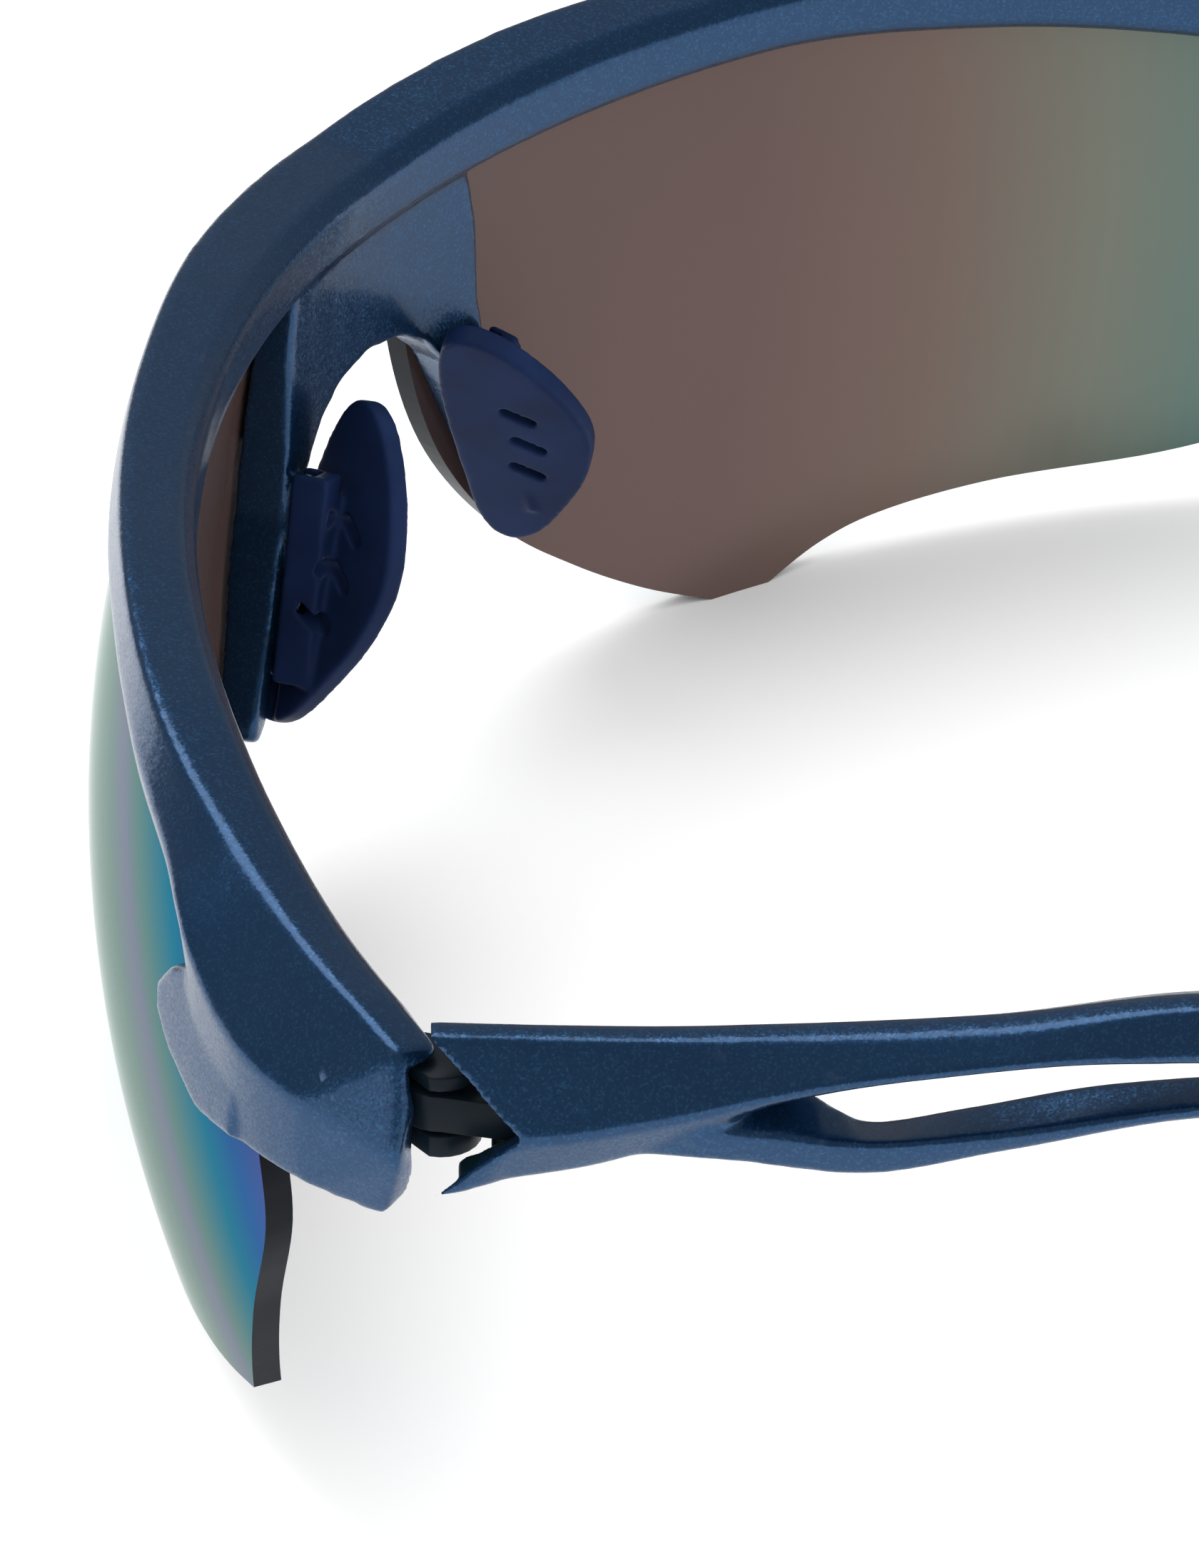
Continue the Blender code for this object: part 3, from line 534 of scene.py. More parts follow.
@dataclass(frozen=True)
class FlakePaint(Finish):
    """Deep navy metallic paint: bright tilted flakes under a clear coat, with a painted highlight lightening
    its sharp edges.
    """

    name: str = "navy_flake_paint"
    colour: Colour = (0.009, 0.044, 0.114, 1.0)
    flake: Colour = (0.018, 0.075, 0.17, 1.0)
    # The paler blue of the painted edge highlight.
    worn: Colour = (0.05, 0.09, 0.16, 1.0)
    roughness: float = 0.3
    drift: float = 0.12
    grain_scale: float = 700.0
    bump: float = 0.12
    metallic: float = 0.8
    coat: float = 0.3
    coat_roughness: float = 0.12
    flake_scale: float = 9000.0
    flake_tilt: float = 0.13
    flake_share: tuple[float, float] = (0.45, 1.0)
    edge_band: tuple[float, float] = (0.56, 0.66)

    def detail(self, writer: Writer, shader: bpy.types.Node, bump: bpy.types.Node) -> None:
        """Add the flakes and the painted highlight on the sharp edges.

        Args:
            writer: Writes to the material's tree.
            shader: The material's shader.
            bump: Its bump node.
        """
        place = writer.add("ShaderNodeTexCoord").outputs["Object"]
        cells = writer.add("ShaderNodeTexVoronoi", {"Scale": self.flake_scale})
        writer.join(place, cells.inputs["Vector"])
        tilt = writer.add("ShaderNodeVectorMath", operation="SUBTRACT")
        writer.join(cells.outputs["Color"], tilt.inputs[0])
        tilt.inputs[1].default_value = (0.5, 0.5, 0.5)
        lean = writer.add("ShaderNodeVectorMath", {"Scale": self.flake_tilt}, operation="SCALE")
        writer.join(tilt.outputs[0], lean.inputs[0])
        turned = writer.add("ShaderNodeVectorMath", operation="ADD")
        writer.join(bump.outputs["Normal"], turned.inputs[0])
        writer.join(lean.outputs[0], turned.inputs[1])
        unit = writer.add("ShaderNodeVectorMath", operation="NORMALIZE")
        writer.join(turned.outputs[0], unit.inputs[0])
        writer.join(unit.outputs[0], shader.inputs["Normal"])
        shade = writer.add("ShaderNodeSeparateColor")
        writer.join(cells.outputs["Color"], shade.inputs[0])
        share = writer.add("ShaderNodeMapRange", {"From Min": self.flake_share[0],
                                                  "From Max": self.flake_share[1]})
        writer.join(shade.outputs[0], share.inputs["Value"])
        bright = writer.math("POWER", share.outputs["Result"], 2.2)
        mixed = writer.ramp(((0.0, self.colour), (1.0, self.flake)), bright)
        # Painted highlight: sharp convex edges, found by pointiness, are lightened toward a paler blue.
        edge = writer.add("ShaderNodeMapRange", {"From Min": self.edge_band[0],
                                                 "From Max": self.edge_band[1], "To Max": 0.35})
        writer.join(writer.add("ShaderNodeNewGeometry").outputs["Pointiness"], edge.inputs["Value"])
        worn = writer.add("ShaderNodeMix", data_type="RGBA")
        writer.join(edge.outputs["Result"], worn.inputs["Factor"])
        writer.join(mixed, worn.inputs[6])
        worn.inputs[7].default_value = self.worn
        writer.join(worn.outputs[2], shader.inputs["Base Color"])


@dataclass(frozen=True)
class MirrorCoat(Finish):
    """The lens's interference coat, whose colour drifts with height and wrap: partly the coat's own colours,
    partly painted reflection, with a lavender grey sheen painted about the middle.
    """

    name: str = "mirror_coat"
    roughness: float = 0.1
    drift: float = 0.05
    grain_scale: float = 400.0
    bump: float = 0.02
    metallic: float = 0.25
    specular: float = 0.1
    ior: float = 1.12
    grazing_tint: Colour = (0.3, 0.4, 0.45, 1.0)
    middle: tuple[float, float] = (0.022, -0.049)
    reach: tuple[float, float] = (0.016, 0.010)
    span: tuple[float, float] = (-2.6, 1.6)
    # Partly the coat's own colours, partly painted reflection: the lavender grey at 0, about the middle,
    # stands in for the grazing sheen near the lens's outline.
    stops: Sequence[tuple[float, Colour]] = (
        (-2.6, (0.01, 0.10, 0.15, 1)), (-1.3, (0.03, 0.14, 0.07, 1)), (-0.4, (0.11, 0.19, 0.15, 1)),
        (0.0, (0.16, 0.17, 0.23, 1)), (0.25, (0.10, 0.19, 0.17, 1)), (0.75, (0.005, 0.15, 0.23, 1)),
        (1.1, (0.02, 0.10, 0.27, 1)), (1.6, (0.08, 0.08, 0.26, 1)))

    def detail(self, writer: Writer, shader: bpy.types.Node, bump: bpy.types.Node) -> None:
        """Add the coat's drifting colour, with its painted grazing sheen.

        Args:
            writer: Writes to the material's tree.
            shader: The material's shader.
            bump: Its bump node; not used.
        """
        place = writer.add("ShaderNodeSeparateXYZ")
        writer.join(writer.add("ShaderNodeTexCoord").outputs["Object"], place.inputs[0])
        terms = []
        for axis, middle, reach in zip((2, 1), self.middle, self.reach):
            terms.append(writer.math("DIVIDE", writer.math("SUBTRACT", place.outputs[axis], middle), reach))
        low, high = self.span
        value = writer.math("DIVIDE", writer.math("SUBTRACT", writer.math("ADD", *terms), low), high - low)
        stops = [((position - low) / (high - low), colour) for position, colour in self.stops]
        writer.join(writer.ramp(stops, value), shader.inputs["Base Color"])


@dataclass(frozen=True)
class TintedFace(Finish):
    """The lens's inner face: grey tint, with a colour that turns from brown at the nose to slate at the
    temple, partly the tint's own and partly painted reflection.
    """

    name: str = "tinted_face"
    roughness: float = 0.14
    drift: float = 0.05
    grain_scale: float = 400.0
    bump: float = 0.02
    metallic: float = 0.3
    specular: float = 0.25
    span: tuple[float, float] = (-0.068, -0.036)
    # Partly tint, partly painted reflection, from the nose to the temple.
    stops: Sequence[tuple[float, Colour]] = (
        (0.0, (0.125, 0.082, 0.075, 1)), (0.2, (0.15, 0.105, 0.09, 1)), (0.42, (0.15, 0.16, 0.13, 1)),
        (0.6, (0.10, 0.17, 0.15, 1)), (0.75, (0.07, 0.12, 0.17, 1)), (1.0, (0.05, 0.08, 0.14, 1)))

    def detail(self, writer: Writer, shader: bpy.types.Node, bump: bpy.types.Node) -> None:
        """Add the drifting colour, painted reflection over the tint.

        Args:
            writer: Writes to the material's tree.
            shader: The material's shader.
            bump: Its bump node; not used.
        """
        place = writer.add("ShaderNodeSeparateXYZ")
        writer.join(writer.add("ShaderNodeTexCoord").outputs["Object"], place.inputs[0])
        low, high = self.span
        value = writer.math("DIVIDE", writer.math("SUBTRACT", place.outputs[1], low), high - low)
        writer.join(writer.ramp(self.stops, value), shader.inputs["Base Color"])


@dataclass(frozen=True)
class LensEdge(Finish):
    """The lens's polished edge, nearly black."""

    name: str = "lens_edge"
    colour: Colour = (0.012, 0.014, 0.018, 1.0)
    roughness: float = 0.25
    specular: float = 0.08


@dataclass(frozen=True)
class Rubber(Finish):
    """Soft indigo rubber."""

    name: str = "indigo_rubber_skin"
    colour: Colour = (0.009, 0.02, 0.065, 1.0)
    roughness: float = 0.42
    specular: float = 0.06
    drift: float = 0.18
    bump: float = 0.25


@dataclass(frozen=True)
class Nylon(Finish):
    """Filled black nylon."""

    name: str = "black_nylon"
    colour: Colour = (0.005, 0.010, 0.016, 1.0)
    roughness: float = 0.38
    specular: float = 0.12
    bump: float = 0.2


@dataclass(frozen=True)
class Steel(Finish):
    """Turned stainless steel."""

    name: str = "turned_steel"
    colour: Colour = (0.46, 0.46, 0.48, 1.0)
    roughness: float = 0.26
    metallic: float = 1.0
    bump: float = 0.1


@dataclass(frozen=True)
class SlotLiner(Finish):
    """Painted shade: a near-black teal put inside the temple's slot and mouth, where they lie in shade."""

    name: str = "slot_liner"
    # The painted shade's near-black teal.
    colour: Colour = (0.002, 0.009, 0.012, 1.0)
    roughness: float = 0.3
    specular: float = 0.2


@dataclass
class FaceCurve:
    """The plan curve that the front is bent round, and the way from flat coordinates to space."""

    centre_x: float = 0.415
    bridge_y: float = -74.62
    bridge_turn: float = 0.097
    bridge_run: float = 7.0
    wrap_radius: float = 80.0
    end: float = 100.0
    step: float = 0.5
    points: list[Vector] = field(default_factory=list)

    def __post_init__(self) -> None:
        """Walk the curve from the nose to past the hinge."""
        self.points = [Vector((0, self.bridge_y))]
        for i in range(int(self.end / self.step)):
            turned = self.heading((i + 0.5) * self.step)
            self.points.append(self.points[-1] + Vector((math.cos(turned), math.sin(turned))) * self.step)

    def heading(self, s: float) -> float:
        """Give the angle turned back at a distance from the nose, in radians."""
        return self.bridge_turn * (1 - math.exp(-s / self.bridge_run)) + s / self.wrap_radius

    def bend(self, s: float, n: float, z: float) -> Vector:
        """Put flat front coordinates in space.

        Args:
            s: Distance along the brow, negative on the wearer's right.
            n: Distance out in front.
            z: Height.

        Returns:
            The place in millimetres.
        """
        reach = abs(s)
        i = min(int(reach / self.step), len(self.points) - 2)
        base = self.points[i].lerp(self.points[i + 1], reach / self.step - i)
        turned = self.heading(reach)
        side = math.copysign(1.0, s)
        x = self.centre_x + side * (base.x + n * math.sin(turned))
        return Vector((x, base.y - n * math.cos(turned), z))

    def plate(self, outline: Sequence[Sequence[float]], back: Callable[[float], float],
              front: Callable[[float], float], side: Side = Side.LEFT, cell: float = 3.0) -> bmesh.types.BMesh:
        """Make a plate that is bent with the front.

        Args:
            outline: The plate's outline as (s, z) points.
            back: Gives the rear face's n at a height.
            front: Gives the outer face's n at a height.
            side: The side it is on.
            cell: The size of the grid it is cut into.

        Returns:
            The closed mesh; its outer faces have material 0, the rear ones 1 and the edge 2.
        """
        bm = bmesh.new()
        bm.faces.new([bm.verts.new((point[0], 0, point[1])) for point in outline])
        for axis in (0, 2):
            normal = Vector((1 - axis / 2, 0, axis / 2))
            reach = [v.co[axis] for v in bm.verts]
            low, span = min(reach), max(reach) - min(reach)
            cuts = int(span / cell)
            for i in range(1, cuts + 1):
                geometry = bm.verts[:] + bm.edges[:] + bm.faces[:]
                bmesh.ops.bisect_plane(bm, geom=geometry, dist=1e-6, plane_no=normal,
                                       plane_co=normal * (low + span * i / (cuts + 1)))
        bmesh.ops.triangulate(bm, faces=[f for f in bm.faces if len(f.verts) > 4])
        outer_faces = bm.faces[:]
        outer = set(bm.verts)
        bmesh.ops.extrude_face_region(bm, geom=outer_faces, use_keep_orig=True)
        for face in bm.faces:
            kinds = {v in outer for v in face.verts}
            face.material_index = 2 if len(kinds) == 2 else int(not kinds.pop())
        for v in bm.verts:
            s, z = v.co.x, v.co.z
            v.co = self.bend(s * side.value, front(z) if v in outer else back(z), z)
        return bm


@dataclass
class Front:
    """The half-rim front: brow bar with end blocks, bridge saddle, pad arms and claws."""

    curve: FaceCurve
    end: float = 89.0
    ridge_point: int = 1
    stations: Sequence[float] = (0, 3, 6, 9, 13, 18, 25, 33, 41, 49, 56, 62, 67, 70.4, 72, 73.6, 76, 79, 82)
    top: Knots = ((0, 39.3), (10, 39.8), (20, 40.1), (43, 40.1), (57, 39.4), (66, 38.2), (76, 36.4),
                  (89, 34.9))
    crest: Knots = ((0, 2.8), (12, 2.8), (26, 2.2), (43, 1.9), (58, 2.1), (74, 1.2), (89, 1.0))
    reach: Knots = ((0, 3.6), (10, 3.6), (19, 3.15), (28, 2.75), (36, 2.6), (46, 2.6), (53, 2.85),
                    (60, 3.4), (66, 3.9), (72, 5.0), (77, 5.2), (83, 4.0), (86, 2.2), (89, 2.0))
    crease: Knots = ((0, 37.2), (30, 37.8), (57, 37.0), (69, 35.2), (76, 32.2), (84, 30.6), (89, 29.7))
    outer_edge: Knots = ((0, 35.2), (12, 35.5), (28, 36.4), (43, 36.2), (60, 35.3), (70.4, 33.6),
                         (73.6, 25.6), (79, 26.0), (84, 26.0), (89, 25.5))
    inner_edge: Knots = ((0, 34.5), (30, 35.3), (45, 33.8), (59, 31.4), (70, 29.0), (80, 27.5), (89, 26.7))
    back: float = -2.0
    block_rear: Sequence[float] = (85.8, 87.4, 86.0, 86.0, 84.8, 84.6, 85.6, 86.0)
    saddle: Knots = ((0, 36.2), (8.5, 36.2), (9.6, 31), (9.8, 26), (10.6, 21.4), (12.9, 15.2),
                     (15.5, 11.0), (15.7, 9.9), (14.8, 9.2), (13.5, 9.9), (10.6, 14.6), (8.6, 19.6),
                     (7.3, 22.6), (5.4, 24.9), (3.0, 26.3), (0, 26.8))
    saddle_depth: tuple[float, float] = (-1.0, 2.8)
    claw: Knots = ((68.0, 29.3), (69.2, 30.9), (71.3, 31.9), (75, 33), (77.5, 31), (77.5, 26.2),
                   (73.8, 25.5), (70.2, 26.7), (68.4, 27.9))
    claw_clearance: float = 0.4
    claw_thickness: float = 1.4

    def section(self, s: float, rear: bool = False) -> list[Vector]:
        """Place the bar's section.

        Args:
            s: Distance from the nose.
            rear: Whether it is the end block's slanted rear face.

        Returns:
            The closed section's points in space.
        """
        reach = abs(s)
        top = profile(self.top)(reach)
        out = profile(self.reach)(reach)
        low = profile(self.inner_edge)(reach)
        points = [(out - 0.2, profile(self.outer_edge)(reach)), (out, profile(self.crease)(reach)),
                  (profile(self.crest)(reach), top), (-1.2, top - 0.5), (self.back, top - 1.5),
                  (self.back, low + 0.7), (self.back + 0.7, low), (0.4, low)]
        places = self.block_rear if rear else [reach] * len(points)
        side = math.copysign(1.0, s)
        return [self.curve.bend(side * place, n, z) for place, (n, z) in zip(places, points)]

    def saddle_outline(self) -> list[Vector]:
        """Give the whole outline of the saddle and its pad arms."""
        return [Vector(p) for p in [*self.saddle, *((-s, z) for s, z in self.saddle[-2:0:-1])]]

    def build(self, lens: Lens, pad: NosePad, hinge: Hinge, paint: bpy.types.Material) -> bpy.types.Object:
        """Build and paint the front.

        Args:
            lens: The lens that sits in the groove.
            pad: The nose pad that the arms carry.
            hinge: The hinge that the end blocks hold.
            paint: Its finish.

        Returns:
            The finished piece.
        """
        places = spread(self.stations, 1.2)
        half = [self.section(s) for s in places] + [self.section(self.end, rear=True)]
        other = [self.section(-s) for s in places[1:]] + [self.section(-self.end, rear=True)]
        frame = new_object("bar", loft(other[::-1] + half, apex=self.ridge_point))
        low, high = self.saddle_depth
        saddle = self.curve.plate(self.saddle_outline(), lambda z: low, lambda z: high)
        combine(frame, new_object("saddle", saddle), Cut.JOIN)

        def claw(side: Side) -> bmesh.types.BMesh:
            """Make the claw over one lens."""
            face = self.claw_clearance
            return self.curve.plate(self.claw, lambda z: lens.front(z) + face,
                                    lambda z: lens.front(z) + face + self.claw_thickness, side)

        combine(frame, new_object("claws", both(claw)), Cut.JOIN)
        mould(frame, 0.17, 26, 1.0)
        tongues = both(lambda side: pad.strip(side, pad.tongue_width, pad.tongue_depth))
        combine(frame, new_object("tongues", tongues), Cut.JOIN)
        for make in (lens.pocket, hinge.recess, hinge.tang_pocket):
            combine(frame, new_object("hollows", both(make)), Cut.REMOVE)
        mould(frame, 0.17, 3, 0.22)
        return finish_piece(frame, "front_frame", "front", [paint], 60)


@dataclass
class Lens:
    """A domed lens that follows the face curve, with a mirror coat outside."""

    curve: FaceCurve
    thickness: float = 1.5
    middle: float = 21.5
    dome: float = 3.85
    radius_below: float = 61.0
    radius_above: float = 52.0
    edge_round: float = 0.22
    flat: tuple[float, float] = (27.2, 31.2)
    rim_run: Knots = ((73.4, 7.5), (66.5, 5.3), (57, 3.4), (46, 3.0), (39.0, 2.4), (35.0, 1.5), (31.2, 0))
    nose_run: Knots = ((27.2, 0), (22.8, 1.9), (18.2, 4.7), (13.6, 8.5), (9.8, 14.2), (7.6, 20.9), (6.9, 27),
                       (9, 32.5), (15, 36.4), (26, 38), (42, 37.9), (58, 36.8), (70, 34.6), (75.4, 31.5))
    temple_run: Knots = ((75.4, 31.5), (77.0, 26), (78.2, 20.9), (76.0, 14.4), (73.4, 7.5))

    def front(self, z: float) -> float:
        """Give the outer face's distance in front of the face curve at a height."""
        radius = self.radius_above if z > self.middle else self.radius_below
        return self.dome - (z - self.middle) ** 2 / (2 * radius)

    def back(self, z: float) -> float:
        """Give the rear face's distance in front of the face curve at a height."""
        return self.front(z) - self.thickness

    def outline(self, steps: int) -> list[Vector]:
        """Follow the lens's edge, with the given number of points to a span."""
        level = [Vector((self.flat[1], 0))]
        return (smooth_run(self.rim_run, steps) + level + smooth_run(self.nose_run, steps)
                + smooth_run(self.temple_run, steps))

    def pocket(self, side: Side) -> bmesh.types.BMesh:
        """Make the tool that cuts the frame's groove."""
        return self.curve.plate(grown(self.outline(3), GAP), lambda z: self.back(z) - GAP,
                                lambda z: self.front(z) + GAP, side)

    def build(self, side: Side, materials: Sequence[bpy.types.Material]) -> bpy.types.Object:
        """Build and coat one lens.

        Args:
            side: The side it is on.
            materials: The outer coat, the inner face and the polished edge.

        Returns:
            The finished piece.
        """
        bm = self.curve.plate(self.outline(8), self.back, self.front, side, cell=1.4)
        lens = new_object("lens", bm)
        piece = finish_piece(lens, f"lens_{side.word}", "front", materials, 50)
        weight = piece.modifiers.new("even_shade", "WEIGHTED_NORMAL")
        weight.keep_sharp = True
        return piece


@dataclass
class NosePad:
    """A soft wing with three slots, moulded round a channel that grips the pad arm's tongue."""

    curve: FaceCurve
    front: Front
    axis: Knots = ((9.35, 23.8), (10.75, 18.3), (12.75, 12.7))
    tongue_width: float = 0.9
    tongue_depth: tuple[float, float] = (-0.8, -2.2)
    root_width: float = 2.4
    root_depth: tuple[float, float] = (-1.3, -3.5)
    centre: tuple[float, float, float] = (9.3, 5.7, 18.3)
    down: tuple[float, float, float] = (0.42, -0.06, -0.905)
    rear: tuple[float, float, float] = (0.35, 0.937, 0.0)
    thickness: float = 1.4
    face: float = -1.28
    outline: Knots = ((-2.4, -9.6), (-0.4, -8.8), (1.7, -6.2), (3.1, -3.2), (3.6, -0.4), (2.8, 2.8),
                      (1.0, 6.0), (-1.0, 8.6), (-2.9, 9.3), (-4.2, 7.6), (-4.5, 3), (-4.5, -4), (-3.8, -8.2))
    slots: Knots = ((-0.25, -2.65), (-0.1, 0.0), (-0.6, 2.5))
    slot_length: float = 2.3
    slot_width: float = 0.7
    slot_angle: float = math.radians(34)

    def strip(self, side: Side, width: float, depth: tuple[float, float],
              extra: float = 0.0) -> bmesh.types.BMesh:
        """Make a strip along the pad arm.

        Args:
            side: The side it is on.
            width: Its width.
            depth: Its front and rear faces' n.
            extra: How much longer it is at each end.

        Returns:
            The closed mesh.
        """
        line = [Vector(point) for point in self.axis]
        line[0] = line[0] + (line[0] - line[1]).normalized() * extra
        line[-1] = line[-1] + (line[-1] - line[-2]).normalized() * extra
        across = (line[0] - line[-1]).normalized().orthogonal() * width / 2
        outline = [point + across for point in line] + [point - across for point in line[::-1]]
        return self.curve.plate(outline, lambda z: depth[1], lambda z: depth[0], side)

    def place(self, side: Side, back: float, down: float, level: float) -> Vector:
        """Put a point of the wing in space: rearward, downward and through its thickness."""
        down_axis = Vector(self.down).normalized()
        back_axis = Vector(self.rear)
        back_axis = (back_axis - down_axis * back_axis.dot(down_axis)).normalized()
        origin = Vector((self.centre[0], self.curve.bridge_y + self.centre[1], self.centre[2]))
        point = origin + back_axis * back + down_axis * down + back_axis.cross(down_axis) * level
        point.x = self.curve.centre_x + side.value * point.x
        return point

    def slot_outline(self, centre: Sequence[float]) -> list[Vector]:
        """Draw a round-ended slot about a centre, as (back, down) points."""
        radius = self.slot_width / 2
        half = self.slot_length / 2 - radius
        ends = arc(radius, -90, 90, 8, (half, 0)) + arc(radius, 90, 270, 8, (-half, 0))
        turn = Matrix.Rotation(-self.slot_angle, 3, "Z")
        return [point.to_3d() @ turn + Vector((*centre, 0)) for point in ends]

    def build(self, side: Side, rubber: bpy.types.Material) -> bpy.types.Object:
        """Build and dress one pad.

        Args:
            side: The side it is on.
            rubber: Its finish.

        Returns:
            The finished piece.
        """
        half = self.thickness / 2
        outline = smooth_run(self.outline, 5, closed=True)

        def place(u: float, v: float, level: float) -> Vector:
            """Put a wing point in space."""
            return self.place(side, u, v, level)

        pad = new_object("wing", prism(outline, -half, half, place))
        root = self.strip(side, self.root_width, self.root_depth, extra=0.2)
        combine(pad, new_object("root", root), Cut.JOIN)
        saddle = self.curve.plate(grown(self.front.saddle_outline(), GAP), lambda z: self.face,
                                  lambda z: self.front.saddle_depth[1])
        combine(pad, new_object("clearance", saddle), Cut.REMOVE)
        mould(pad, 0.14, 14, 1.0)
        depth = (self.tongue_depth[0] + GAP, self.tongue_depth[1] - GAP)
        channel = self.strip(side, self.tongue_width + 2 * GAP, depth, extra=GAP)
        combine(pad, new_object("channel", channel), Cut.REMOVE)
        for centre in self.slots:
            slot = prism(self.slot_outline(centre), -3 * half, 3 * half, place)
            combine(pad, new_object("slot", slot), Cut.REMOVE)
        mould(pad, 0.12, 2, 0.5)
        return finish_piece(pad, f"nose_pad_{side.word}", "front", [rubber], 70)


@dataclass
class Hinge:
    """One screw hinge to a side: ears on the front, a tongue on the temple."""

    curve: FaceCurve
    x: float = 64.4
    behind_bridge: float = 48.2
    radius: float = 2.0
    roof: float = 33.9
    angle: float = math.radians(23.5)
    tang_side: tuple[float, float] = (0.5, 2.3)
    tang_reach: float = 8.0
    tang_web: float = 2.6
    tang_z: tuple[float, float] = (29.6, 33.0)
    tang_back: float = -0.6
    ear_inset: float = 0.25
    clearance: float = 0.35
    bevel: float = 0.12

    def point(self, side: Side, w: float, a: float, z: float) -> Vector:
        """Put hinge-centred coordinates, outward and rearward, in space."""
        x = self.curve.centre_x + side.value * (self.x + w)
        return Vector((x, self.curve.bridge_y + self.behind_bridge + a, z))

    def tang_point(self, side: Side, w: float, a: float, z: float) -> Vector:
        """Put coordinates along the slanted end block in space."""
        cos, sin = math.cos(self.angle), math.sin(self.angle)
        return self.point(side, w * cos + a * sin, a * cos - w * sin, z)

    def recess(self, side: Side) -> bmesh.types.BMesh:
        """Make the end block's clearance for the knuckle and the roots of the ears."""
        inner, outer = self.tang_side[0] + self.ear_inset - GAP, self.tang_side[1] + GAP
        root = -self.tang_web - 1 - GAP
        outline = arc(self.radius + self.clearance, 0, 250, 40)
        outline += [Vector((inner, root)), Vector((outer, root)), Vector((outer, -1.0))]
        return prism(outline, BELOW, self.roof, lambda u, v, z: self.tang_point(side, u, v, z))

    def tang_pocket(self, side: Side) -> bmesh.types.BMesh:
        """Make the end block's pocket for the tang."""
        inner, outer = self.tang_side[0] - GAP, self.tang_side[1] + GAP
        front = -self.tang_reach - GAP
        outline = [(inner, front), (outer, front), (outer, self.tang_back), (inner, self.tang_back)]
        return prism(outline, self.tang_z[0] - GAP, self.tang_z[1] + GAP,
                     lambda u, v, z: self.tang_point(side, u, v, z))

    def dress(self, node: bpy.types.Object, name: str, body: str,
              material: bpy.types.Material) -> bpy.types.Object:
        """Soften a machined or moulded hinge piece's edges.

        Args:
            node: The CAD node that gives its shape.
            name: That node's name.
            body: The CAD body that it rides on.
            material: Its finish.

        Returns:
            The finished piece.
        """
        bm = bmesh.new()
        bm.from_mesh(node.data)
        bmesh.ops.remove_doubles(bm, verts=bm.verts, dist=WELD * MM)
        bmesh.ops.dissolve_limit(bm, angle_limit=math.radians(1), verts=bm.verts, edges=bm.edges)
        bmesh.ops.transform(bm, matrix=Matrix.Scale(1 / MM, 4), verts=bm.verts)
        sharp = [e for e in bm.edges if e.calc_face_angle(0) > math.radians(35)]
        bmesh.ops.bevel(bm, geom=sharp, offset=self.bevel, offset_type="OFFSET", segments=2,
                        profile=0.5, affect="EDGES", material=-1, clamp_overlap=True)
        bmesh.ops.triangulate(bm, faces=bm.faces)
        return finish_piece(new_object(name, bm), name, body, [material])


